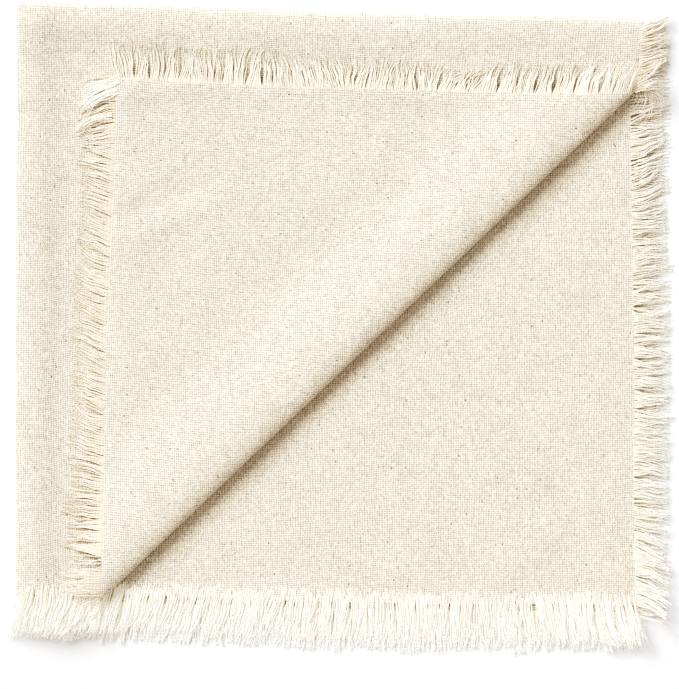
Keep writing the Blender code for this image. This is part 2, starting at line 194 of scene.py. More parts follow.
@dataclass(frozen=True)
class CornerRoll:
    """The oval loop over which the top sheet's loose corner is folded back."""

    start: tuple[float, float] = (30.1 * MM, -238.6 * MM)
    end: tuple[float, float] = (248.6 * MM, -30.6 * MM)
    rise_at_ends: float = 3.4 * MM
    rise_in_middle: float = 3.9 * MM
    taper_low: float = 0.16
    taper_high: float = 0.09
    reach_per_rise: float = 2.1
    back_slope: float = 38.0 * MM
    oval_steps: int = 181

    @property
    def length(self) -> float:
        """Length of the roll from end to end."""
        return math.dist(self.start, self.end)

    @property
    def along(self) -> np.ndarray:
        """The way along the roll, from its lower left end."""
        return (np.array(self.end) - np.array(self.start)) / self.length

    @property
    def out(self) -> np.ndarray:
        """The way out of the roll, towards the lower right."""
        along = self.along
        return np.array([along[1], -along[0]])

    def rise(self, share: np.ndarray) -> np.ndarray:
        """Give half the height of the loop.

        Args:
            share: Places along the roll, 0 at its lower left end and 1 at the other.

        Returns:
            The heights.
        """
        slack = self.rise_at_ends - self.rise_in_middle
        low = slack * (1.0 - ease(share / self.taper_low))
        high = slack * ease((share - 1.0 + self.taper_high) / self.taper_high)
        return self.rise_in_middle + low + high

    def oval(self) -> tuple[np.ndarray, np.ndarray]:
        """Give angles round the half oval of rise 1, and the lengths that they lie at."""
        angles = np.linspace(0.0, math.pi, self.oval_steps)
        speed = np.hypot(self.reach_per_rise * np.cos(angles), np.sin(angles))
        lengths = np.concatenate([[0.0], np.cumsum((speed[1:] + speed[:-1]) / 2)]) * angles[1]
        return angles, lengths

    def turn_back(self, fold: QuarterFold, points: np.ndarray) -> tuple[np.ndarray, np.ndarray]:
        """Take the corner up round the loop and lay it back over the sheet.

        Args:
            fold: The quarter folds that the points have gone through.
            points: Places in the folded stack.

        Returns:
            The new places, and how far each has come down from the roll, from 0 to 1.
        """
        z = points[:, 2]
        angles, lengths = self.oval()
        base = fold.top_level * fold.pitch
        from_start = points[:, :2] - np.array(self.start)
        out = from_start @ self.out
        rise = self.rise(from_start @ self.along / self.length)
        reach = self.reach_per_rise * rise
        way = out + reach
        angle = np.interp(way / rise, lengths, angles)
        past = np.maximum(way - rise * lengths[-1], 0.0)
        landed = ease(past / self.back_slope)
        offset = z - base
        slant = np.hypot(rise * np.sin(angle), reach * np.cos(angle))
        rolled_out = reach * (np.sin(angle) - 1.0) - past - offset * rise * np.sin(angle) / slant
        rolled_up = (
            base
            + rise * (1.0 - np.cos(angle))
            - (2.0 * rise - fold.pitch) * landed
            + offset * reach * np.cos(angle) / slant
        )
        moves = (offset > -fold.pitch / 2) & (way > 0.0)
        shift = np.where(moves, rolled_out - out, 0.0)
        flat = points[:, :2] + shift[:, None] * self.out
        places = np.stack([flat[:, 0], flat[:, 1], np.where(moves, rolled_up, z)], axis=1)
        return places, np.where(moves, landed, 0.0)


@dataclass(frozen=True)
class Crease:
    """A soft ridge, or a trough where its height is below zero, that fades out to all sides."""

    x: float
    y: float
    heading: float
    length: float
    width: float
    height: float

    def lift(self, x: np.ndarray, y: np.ndarray) -> np.ndarray:
        """Give the height of this crease at places in the fold, given in metres.

        Args:
            x: Places across.
            y: Places up.

        Returns:
            The heights, in the unit of the crease's own height.
        """
        turn = math.radians(self.heading)
        from_x, from_y = x - self.x * MM, y - self.y * MM
        along = (from_x * math.cos(turn) + from_y * math.sin(turn)) / (self.length * MM)
        side = (from_y * math.cos(turn) - from_x * math.sin(turn)) / (self.width * MM)
        return self.height * np.exp(-(along**2) - side**2)


@dataclass(frozen=True)
class Puff:
    """An unpressed fold that stands proud of the stack by a share of its height."""

    share: float
    crest: float
    width: float

    def lift(self, inward: np.ndarray) -> np.ndarray:
        """Give the share by which the stack is lifted at distances in from the fold."""
        return self.share * np.exp(-(((inward - self.crest) / self.width) ** 2))


@dataclass(frozen=True)
class Loft:
    """What lifts the sheets off each other: slack folds, creases and a faint ripple."""

    left_puff: Puff = Puff(0.42, 6.5 * MM, 9.0 * MM)
    top_puff: Puff = Puff(0.46, 6.0 * MM, 9.5 * MM)
    # Creases of the whole stack, as shares of its height
    stack_creases: tuple[Crease, ...] = (
        Crease(205, -222, 38, 46, 11, 0.26),
        Crease(236, -236, 60, 22, 12, 0.22),
        Crease(150, -226, 20, 40, 9, 0.10),
        Crease(222, -212, 40, 30, 5, -0.10),
        Crease(210, -15, -2, 60, 6, -0.17),
        Crease(32, -13, 0, 14, 5, -0.10),
        Crease(17, -125, 90, 90, 5, -0.07),
        Crease(15, -195, 90, 50, 6, -0.08),
    )
    # Creases of the corner that is folded back, in millimetres
    flap_creases: tuple[Crease, ...] = (
        Crease(56, -77, 22, 24, 4.0, -0.75),
        Crease(60, -86, 23, 26, 4.5, 0.60),
        Crease(52, -34, 10, 16, 3.5, 0.80),
        Crease(47, -30, 48, 6, 1.6, 0.55),
        Crease(150, -62, 30, 60, 14, 0.55),
        Crease(72, -140, 70, 60, 12, 0.45),
        Crease(80, -125, 74, 40, 8, -0.35),
        Crease(175, -41, 3, 30, 3.5, -0.30),
        Crease(62, -205, 58, 34, 6, 0.45),
        Crease(130, -27, -2, 80, 8, 1.40),
        Crease(180, -33, 0, 36, 9, 0.80),
    )
    flap_rest: float = 0.3 * MM
    ripple_height: float = 0.10 * MM
    ripple_waves: tuple[float, ...] = (11.0, 17.0, 26.0, 38.0, 55.0)
    ripple_seed: int = 4
    ripple_headings: int = 3
    ripple_gain: float = 1.6
    flap_drift: float = 1.7
    edge_droop: float = 0.30
    droop_length: float = 13.0 * MM

    def ripple(self, x: np.ndarray, y: np.ndarray, level: np.ndarray) -> np.ndarray:
        """Give the faint, uneven ripple of a sheet.

        Args:
            x: Places across.
            y: Places up.
            level: Layer numbers, so that each layer has a ripple of its own.

        Returns:
            The heights.
        """
        rng = np.random.default_rng(self.ripple_seed)
        height = np.zeros_like(x)
        for wave in self.ripple_waves:
            for _ in range(self.ripple_headings):
                heading, start, drift = rng.uniform(0.0, math.tau, 3)
                across = x * math.cos(heading) + y * math.sin(heading)
                phase = across * math.tau / (wave * MM) + start + level * drift
                height += np.sin(phase) * wave**0.5
        whole = sum(wave**0.5 for wave in self.ripple_waves)
        return height * self.ripple_height / whole * self.ripple_gain

    def lift(
        self, fold: QuarterFold, laid: HandLaid, points: np.ndarray, landed: np.ndarray, half: float
    ) -> np.ndarray:
        """Lift the stack, with its underside kept level on the table.

        Args:
            fold: The quarter folds.
            laid: How the layers lie out of square.
            points: Places after the corner is folded back.
            landed: How far each place has come down from the roll.
            half: Half the thickness of the sheet.

        Returns:
            The final places, measured from the folded corner and the table.
        """
        x, y, z = points.T
        up = z + half
        inward = -y - x / fold.half_width * laid.drop_at_top
        share = self.left_puff.lift(x) + self.top_puff.lift(inward)
        share = share + sum(crease.lift(x, y) for crease in self.stack_creases)
        beyond = np.maximum(x - fold.half_width, 0.0)
        beyond = beyond + np.maximum(-y - fold.half_height - laid.drop_at_bottom, 0.0)
        share = share - self.edge_droop * ease(beyond / self.droop_length)
        flap = self.flap_rest + sum(crease.lift(x, y) for crease in self.flap_creases) * MM
        level = fold.level(z, laid.whole_layer) + self.flap_drift * landed
        ripple = self.ripple(x, y, level) * np.clip(up / fold.pitch, 0.0, 1.0)
        ceiling = (fold.top_level + 1) * fold.pitch
        lifted = up + share * np.minimum(up, ceiling) + landed * flap + ripple
        return np.stack([x, y, lifted], axis=1)


@dataclass(frozen=True)
class FoldedStack:
    """The whole fold: where any place of the flat cloth ends up."""

    thickness: float = 0.6 * MM
    quarters: QuarterFold = QuarterFold()
    laid: HandLaid = HandLaid()
    roll: CornerRoll = CornerRoll()
    loft: Loft = Loft()
    unfolding_steps: int = 6

    def place(self, points: np.ndarray) -> tuple[np.ndarray, np.ndarray]:
        """Fold places of the flat cloth.

        Args:
            points: Rows of x, y and the height over the middle of the sheet.

        Returns:
            The places in the fold, and how far each has come down from the roll.
        """
        stacked = self.laid.lay(self.quarters, self.quarters.fold(points))
        rolled, landed = self.roll.turn_back(self.quarters, stacked)
        half = self.thickness / 2
        return self.loft.lift(self.quarters, self.laid, rolled, landed, half), landed

    def top_sheet_height(self, x: np.ndarray, y: np.ndarray) -> np.ndarray:
        """Give the height of the upper side of the top sheet, where the corner lies back on it."""
        level = np.full_like(x, self.quarters.top_level * self.quarters.pitch)
        points = np.stack([x, y, level], axis=1)
        half = self.thickness / 2
        lifted = self.loft.lift(self.quarters, self.laid, points, np.zeros_like(x), half)
        return lifted[:, 2] + half

    def on_flat_cloth(self, place: np.ndarray) -> np.ndarray:
        """Find where a place on the top sheet lies on the flat cloth, before the corner is rolled.

        Args:
            place: The x and y of the place.

        Returns:
            The x and y on the flat cloth.
        """
        flat = np.array([place[0], -place[1]])
        for _ in range(self.unfolding_steps):
            row = np.array([[*flat, 0.0]])
            lies = self.laid.lay(self.quarters, self.quarters.fold(row))[0]
            flat = flat + (place[0] - lies[0], lies[1] - place[1])
        return flat


# --- Finishes -------------------------------------------------------------------------------------


class Signal:
    """A number that varies over a surface. Arithmetic on it adds Math nodes."""

    def __init__(self, shader: "Shader", socket: bpy.types.NodeSocket) -> None:
        """Wrap an output socket of a shader."""
        self.shader = shader
        self.socket = socket

    def math(self, operation: str, *others: "Signal | float", reflected: bool = False) -> "Signal":
        """Add a Math node.

        Args:
            operation: The node's operation.
            others: The node's other values.
            reflected: Whether this signal is the second value, not the first.

        Returns:
            The result.
        """
        values = [*others, self] if reflected else [self, *others]
        node = self.shader.node("ShaderNodeMath", {"operation": operation}, dict(enumerate(values)))
        return Signal(self.shader, node.outputs[0])

    def __add__(self, other: "Signal | float") -> "Signal":
        """Add."""
        return self.math("ADD", other)

    __radd__ = __add__

    def __sub__(self, other: "Signal | float") -> "Signal":
        """Take away."""
        return self.math("SUBTRACT", other)

    def __rsub__(self, other: "Signal | float") -> "Signal":
        """Take this away from the other."""
        return self.math("SUBTRACT", other, reflected=True)

    def __mul__(self, other: "Signal | float") -> "Signal":
        """Multiply."""
        return self.math("MULTIPLY", other)

    __rmul__ = __mul__

    def __truediv__(self, other: "Signal | float") -> "Signal":
        """Divide."""
        return self.math("DIVIDE", other)

    def __abs__(self) -> "Signal":
        """Drop the sign."""
        return self.math("ABSOLUTE")

    def sine(self) -> "Signal":
        """Give the sine."""
        return self.math("SINE")

    def sign(self) -> "Signal":
        """Give the sign, -1 or 1."""
        return self.math("SIGN")

    def floor(self) -> "Signal":
        """Round down."""
        return self.math("FLOOR")

    def larger(self, other: "Signal | float") -> "Signal":
        """Give the larger of the two."""
        return self.math("MAXIMUM", other)

    def smaller(self, other: "Signal | float") -> "Signal":
        """Give the smaller of the two."""
        return self.math("MINIMUM", other)

    def between(self, low: float, high: float) -> "Signal":
        """Ease from 0 at the low value to 1 at the high one."""
        settings = {"interpolation_type": "SMOOTHSTEP", "clamp": True}
        inputs = {"Value": self, "From Min": low, "From Max": high}
        node = self.shader.node("ShaderNodeMapRange", settings, inputs)
        return Signal(self.shader, node.outputs["Result"])


Colour = tuple[float, float, float]


def feed(tree: bpy.types.NodeTree, socket: bpy.types.NodeSocket, value: object) -> None:
    """Set a socket's value, or link it where the value is a signal or a socket."""
    if isinstance(value, Signal):
        value = value.socket
    if isinstance(value, bpy.types.NodeSocket):
        tree.links.new(value, socket)
    else:
        socket.default_value = value


def add_node(
    tree: bpy.types.NodeTree, kind: str, settings: dict | None = None, inputs: dict | None = None
) -> bpy.types.Node:
    """Add a node.

    Args:
        tree: The tree to add it to.
        kind: The node's type.
        settings: Its properties, set first.
        inputs: Values or links of its sockets, by name or number.

    Returns:
        The node.
    """
    node = tree.nodes.new(kind)
    for name, value in (settings or {}).items():
        setattr(node, name, value)
    for key, value in (inputs or {}).items():
        feed(tree, node.inputs[key], value)
    return node


class Shader:
    """A material with one Principled shader, and what its colour and surface are made from."""

    def __init__(self, name: str) -> None:
        """Start a material with an empty Principled shader."""
        self.material = bpy.data.materials.new(name)
        self.material.use_nodes = True
        self.tree = self.material.node_tree
        self.surface = self.tree.nodes["Principled BSDF"]

    def node(
        self, kind: str, settings: dict | None = None, inputs: dict | None = None
    ) -> bpy.types.Node:
        """Add a node to this material, as add_node does."""
        return add_node(self.tree, kind, settings, inputs)

    def uv(self, name: str) -> tuple[Signal, Signal]:
        """Read a UV map as two signals."""
        node = self.node("ShaderNodeUVMap", {"uv_map": name})
        parts = self.node("ShaderNodeSeparateXYZ", inputs={0: node.outputs["UV"]})
        return Signal(self, parts.outputs["X"]), Signal(self, parts.outputs["Y"])

    def attribute(self, name: str) -> Signal:
        """Read a number kept on the mesh."""
        node = self.node("ShaderNodeAttribute", {"attribute_name": name})
        return Signal(self, node.outputs["Fac"])

    def flat(self, x: Signal | float, y: Signal | float) -> bpy.types.NodeSocket:
        """Join two signals to a flat vector."""
        return self.node("ShaderNodeCombineXYZ", inputs={"X": x, "Y": y}).outputs["Vector"]

    def cloud(self, x: Signal, y: Signal, detail: float = 1.0, roughness: float = 0.5) -> Signal:
        """Give soft noise from 0 to 1 that changes about once a unit.

        Args:
            x: First coordinate.
            y: Second coordinate.
            detail: Finer steps to add.
            roughness: Share of the finer steps.

        Returns:
            The noise.
        """
        inputs = {"Vector": self.flat(x, y), "Detail": detail, "Roughness": roughness, "Scale": 1.0}
        node = self.node("ShaderNodeTexNoise", {"noise_dimensions": "2D"}, inputs)
        return Signal(self, node.outputs[0])

    def dice(self, x: Signal, y: Signal) -> Signal:
        """Give a number from 0 to 1, drawn anew for every whole x and y."""
        inputs = {"Vector": self.flat(x.floor(), y.floor())}
        node = self.node("ShaderNodeTexWhiteNoise", {"noise_dimensions": "2D"}, inputs)
        return Signal(self, node.outputs["Value"])

    def mix(self, share: Signal | float, first: object, second: object) -> bpy.types.NodeSocket:
        """Mix two colours.

        Args:
            share: Share of the second.
            first: A colour or a colour socket.
            second: A colour or a colour socket.

        Returns:
            The mixed colour.
        """
        colours = [(*c, 1.0) if isinstance(c, tuple) else c for c in (first, second)]
        inputs = {0: share, 6: colours[0], 7: colours[1]}
        return self.node("ShaderNodeMix", {"data_type": "RGBA"}, inputs).outputs[2]

    def tone(self, colour: bpy.types.NodeSocket, strength: Signal) -> bpy.types.NodeSocket:
        """Make a colour lighter or darker by a strength about 1."""
        inputs = {0: colour, "Scale": strength}
        return self.node("ShaderNodeVectorMath", {"operation": "SCALE"}, inputs).outputs["Vector"]

    def relief(self, height: Signal, depth: float) -> bpy.types.NodeSocket:
        """Turn a height from 0 to 1 into a bump of a depth in metres."""
        inputs = {"Height": height, "Distance": depth, "Strength": 1.0}
        return self.node("ShaderNodeBump", inputs=inputs).outputs["Normal"]

    def finish(self, plain: dict[str, float], linked: dict[str, object]) -> bpy.types.Material:
        """Set the Principled shader's own values and links.

        Args:
            plain: Values that are the same all over.
            linked: What changes over the surface.

        Returns:
            The material.
        """
        for name, value in {**plain, **linked}.items():
            feed(self.tree, self.surface.inputs[name], value)
        return self.material


@dataclass(frozen=True)
class LinenFinish:
    """Plain weave of cream weft over flaxen warp, with slubs, flax and specks along the weft.

    A shade is how much of the cloth's brightness a thing adds or takes. A share is how far the
    colour goes over to that of the thing. What u and v are multiplied by is how often a noise
    changes in a metre.
    """

    end_pitch: float = 0.47 * MM
    pick_pitch: float = 0.755 * MM
    warp_colour: Colour = (0.875, 0.780, 0.645)
    weft_colour: Colour = (0.990, 0.910, 0.770)
    hole_colour: Colour = (0.330, 0.250, 0.180)
    flax_colour: Colour = (0.640, 0.530, 0.400)
    speck_colour: Colour = (0.190, 0.150, 0.110)
    stay_width: float = 2.6 * MM
    # Painted washout of light near the lower edge of the layers beneath the top sheet
    painted_washout_width: float = 24.0 * MM
    painted_washout_to: float = 2.0 * MM
    # Width of the painted highlight along the crest of the top fold
    crest_highlight_width: float = 5.0 * MM
    waver: tuple[float, float] = (3.4, 2.2)
    brightness: float = 1.03
    weft_shade: float = 0.26
    warp_shade: float = 0.20
    crossing_shade: float = 0.29
    fibre_shade: float = 0.50
    mottle_shade: float = 0.06
    row_gap_shade: float = 0.36
    pair_gap_shade: float = 0.28
    stay_shade: float = 0.03
    painted_washout_shade: float = 0.03
    crest_highlight_shade: float = 0.11
    flax_share: float = 0.30
    smudge_share: float = 0.12
    hole_share: float = 0.68
    speck_share: float = 0.85
    relief_depth: float = 0.09 * MM
    roughness: float = 0.90
    sheen: float = 0.08

    def material(self, half_width: float, half_height: float) -> bpy.types.Material:
        """Make the material, on a UV map that holds places of the flat cloth in metres.

        Args:
            half_width: Half the width of the cloth.
            half_height: Half its height.

        Returns:
            The material.
        """
        shader = Shader("woven_linen")
        u, v = shader.uv("weave")
        waver_x = shader.cloud(u * 70.0, v * 35.0) - 0.5
        waver_y = shader.cloud(u * 35.0 + 9.0, v * 70.0) - 0.5
        x = u / self.end_pitch + waver_x * self.waver[0]
        y = v / self.pick_pitch + waver_y * self.waver[1]
        warp, weft = x.floor(), y.floor()
        weft_slub = shader.cloud(u * 210.0, weft * 7.31, 1.0) - 0.5
        warp_slub = shader.cloud(warp * 5.17, v * 190.0 + 40.0, 1.0) - 0.5
        warp_wave = (x * math.pi).sine()
        weft_wave = (y * math.pi).sine()
        weft_up = abs(weft_wave) * (weft_slub * 1.5 + 1.05) + warp_wave * weft_wave.sign() * 0.45
        warp_up = abs(warp_wave) * (warp_slub * 1.0 + 0.95) - weft_wave * warp_wave.sign() * 0.45
        height = weft_up.larger(warp_up)
        weft_shows = (weft_up - warp_up).between(-0.25, 0.25)
        row_gap = 1.0 - abs(weft_wave).between(0.05, 0.80)
        # The ends run in pairs, as the reed spaced them
        pair_gap = 1.0 - abs((x * (math.pi / 2.0)).sine()).between(0.10, 0.75)
        # No two gaps are quite alike along a yarn
        row_gap = row_gap * (shader.cloud(u * 420.0, weft * 5.31) * 2.2 - 0.1)
        pair_gap = pair_gap * (shader.cloud(warp * 3.77, v * 420.0 + 11.0) * 2.2 - 0.1)
        chance = shader.dice(x * 0.5 + 0.5, y + 0.5)
        pinhole = row_gap * pair_gap * (0.35 + 1.1 * chance)

        weft_tone = shader.cloud(u * 45.0, weft * 3.73, 2.0, 0.65) - 0.5
        warp_tone = shader.cloud(warp * 9.41, v * 45.0, 2.0, 0.65) - 0.5
        crossing = shader.dice(x, y) - 0.5
        fibre = shader.cloud(u * 1700.0, v * 2400.0, 1.0, 0.6) - 0.5
        mottle = shader.cloud(u * 28.0 + 3.0, v * 28.0, 2.0) - 0.5
        smudge = shader.cloud(u * 55.0 + 7.0, v * 38.0, 1.0).between(0.66, 0.86)
        speck = shader.dice(x, y + 7.0).between(0.9955, 0.9990) * weft_shows
        flax = shader.cloud(u * 120.0 + 5.0, weft * 11.9, 1.0).between(0.60, 0.80)

        from_edge = (half_width - abs(u)).smaller(half_height - abs(v))
        stay = 1.0 - from_edge.between(0.6 * self.stay_width, self.stay_width)
        # Painted washout: near the lower edge of the two layers beneath the top sheet the weave's
        # gaps are painted fainter, as strong light leaves them, and the cloth a trace darker
        painted_washout = 1.0 - (half_height - abs(v)).between(0.0, self.painted_washout_width)
        painted_washout = painted_washout * (1.0 - u.between(-self.painted_washout_to, self.painted_washout_to))
        # Painted highlight along the crest of the top fold: the cloth is lighter there, its gaps
        # and holes fainter
        crest_highlight = 1.0 - abs(v).between(0.3 * self.crest_highlight_width, self.crest_highlight_width)
        gaps = row_gap * self.row_gap_shade + pair_gap * self.pair_gap_shade
        strength = (
            self.brightness
            + weft_tone * weft_shows * self.weft_shade
            + warp_tone * (1.0 - weft_shows) * self.warp_shade
            + crossing * self.crossing_shade
            + fibre * self.fibre_shade
            + mottle * self.mottle_shade
            - gaps * (1.0 - crest_highlight * 0.6) * (1.0 - painted_washout * 0.25)
            + stay * self.stay_shade
            - painted_washout * self.painted_washout_shade
            + crest_highlight * self.crest_highlight_shade
        )
        holes = (pinhole * (1.0 - crest_highlight * 0.7)).smaller(1.0)
        colour = shader.mix(weft_shows, self.warp_colour, self.weft_colour)
        colour = shader.mix(flax * weft_shows * self.flax_share, colour, self.flax_colour)
        colour = shader.mix(smudge * self.smudge_share, colour, self.flax_colour)
        colour = shader.mix(holes * self.hole_share, colour, self.hole_colour)
        colour = shader.mix(speck * self.speck_share, colour, self.speck_colour)
        colour = shader.tone(colour, strength)
        rough = self.roughness + fibre * 0.12
        body = height + weft_slub * 0.5 + fibre * 0.6
        return shader.finish(
            {"Sheen Weight": self.sheen, "Sheen Roughness": 0.5, "Specular IOR Level": 0.25},
            {
                "Base Color": colour,
                "Roughness": rough,
                "Normal": shader.relief(body, self.relief_depth),
            },
        )


@dataclass(frozen=True)
class YarnFinish:
    """A loose yarn of the fringe: lightly twisted, with painted shade at its root and painted light
    towards its tip.

    Above 0 its painted light makes it whiter, and below 0 its painted shade makes it darker and
    flaxen.
    """

    name: str = "frayed_yarn"
    # Painted shade at the root and painted light at the tip
    shaded_root_colour: Colour = (0.960, 0.875, 0.730)
    lit_tip_colour: Colour = (0.985, 0.935, 0.830)
    # Painted highlight colour, and painted shade colour, mixed in by each thread's painted light
    painted_highlight_colour: Colour = (0.990, 0.980, 0.935)
    painted_shade_colour: Colour = (0.900, 0.745, 0.560)
    flax_colour: Colour = (0.820, 0.700, 0.520)
    flax_share: float = 0.45
    strand_shade: float = 0.035
    fuzz_shade: float = 0.16
    patch_shade: float = 0.14
    thread_shade: float = 0.09
    # Strength of the yarn's emission, a painted light
    painted_glow: float = 0.10
    twist_pitch: float = 1.3 * MM
    relief_depth: float = 0.05 * MM
    roughness: float = 0.93
    sheen: float = 0.12

    def material(self) -> bpy.types.Material:
        """Make the material. Its UV map holds the turn round a thread and the length along it."""
        shader = Shader(self.name)
        turn, along = shader.uv("yarn")
        reach = shader.attribute("reach")
        draw = shader.attribute("draw")
        strand = (along * (math.tau / self.twist_pitch) + turn * (2.0 * math.tau)).sine()
        fuzz = shader.cloud(turn * 5.0 + draw * 40.0, along * 900.0, 2.0, 0.7) - 0.5
        patch = shader.cloud(draw * 60.0, along * 160.0, 1.0) - 0.5
        # Painted shade at the root, giving way to painted light towards the tip
        pale = (reach * 1.1).between(0.0, 1.0)
        # Each thread's painted light: whiter above 0, darker and flaxen with painted shade below 0
        painted_light = shader.attribute("painted_light")
        colour = shader.mix(pale, self.shaded_root_colour, self.lit_tip_colour)
        colour = shader.mix(painted_light * (0.45 + 0.55 * reach), colour, self.painted_highlight_colour)
        colour = shader.mix(painted_light * -1.0, colour, self.painted_shade_colour)
        colour = shader.mix(draw.between(0.80, 1.0) * self.flax_share, colour, self.flax_colour)
        strength = (
            1.0
            + strand * self.strand_shade
            + fuzz * self.fuzz_shade
            + patch * self.patch_shade
            + (draw - 0.5) * self.thread_shade
        )
        plain = {"Sheen Weight": self.sheen, "Sheen Roughness": 0.5, "Specular IOR Level": 0.25}
        # Painted light: a faint emission stands in for the light that passes through the fine
        # fibres, stronger where the thread is painted lighter
        return shader.finish(
            {**plain, "Emission Strength": self.painted_glow},
            {
                "Base Color": shader.tone(colour, strength),
                "Emission Color": shader.tone(colour, (0.35 + painted_light * 0.80).larger(0.1)),
                "Roughness": self.roughness + fuzz * 0.1,
                "Normal": shader.relief(strand * 0.5 + fuzz, self.relief_depth),
            },
        )


@dataclass(frozen=True)
class TableFinish:
    """Plain pale table top."""

    colour: Colour = (0.885, 0.885, 0.89)
    roughness: float = 0.75

    def material(self) -> bpy.types.Material:
        """Make the material, with a trace of unevenness in its gloss."""
        shader = Shader("pale_table")
        coordinates = shader.node("ShaderNodeTexCoord").outputs["Object"]
        parts = shader.node("ShaderNodeSeparateXYZ", inputs={0: coordinates})
        x, y = (Signal(shader, parts.outputs[axis]) for axis in "XY")
        grain = shader.cloud(x * 40.0, y * 40.0, 2.0) - 0.5
        colour = (*self.colour, 1.0)
        plain = {"Base Color": colour, "Specular IOR Level": 0.2}
        return shader.finish(plain, {"Roughness": self.roughness + grain * 0.05})


# --- Meshes ---------------------------------------------------------------------------------------


def new_mesh(
    name: str, points: np.ndarray, faces: Sequence, links: Sequence = ()
) -> bpy.types.Mesh:
    """Make a mesh of points, and faces or links between them.

    Args:
        name: Name of the mesh.
        points: Rows of x, y, z in metres.
        faces: The point numbers of each face.
        links: Pairs of point numbers.

    Returns:
        The mesh.
    """
    mesh = bpy.data.meshes.new(name)
    mesh.from_pydata(points.reshape(-1, 3).tolist(), links, faces)
    return mesh


def show(name: str, mesh: bpy.types.Mesh) -> bpy.types.Object:
    """Put a mesh in the scene, at the origin."""
    piece = bpy.data.objects.new(name, mesh)
    bpy.context.scene.collection.objects.link(piece)
    return piece


def set_uv(mesh: bpy.types.Mesh, name: str, corners: np.ndarray) -> None:
    """Add a UV map.

    Args:
        mesh: The mesh.
        name: Name of the map.
        corners: Rows of u and v, one for each corner of each face.
    """
    layer = mesh.uv_layers.new(name=name, do_init=False)
    layer.uv.foreach_set("vector", corners.astype(np.float32).ravel())


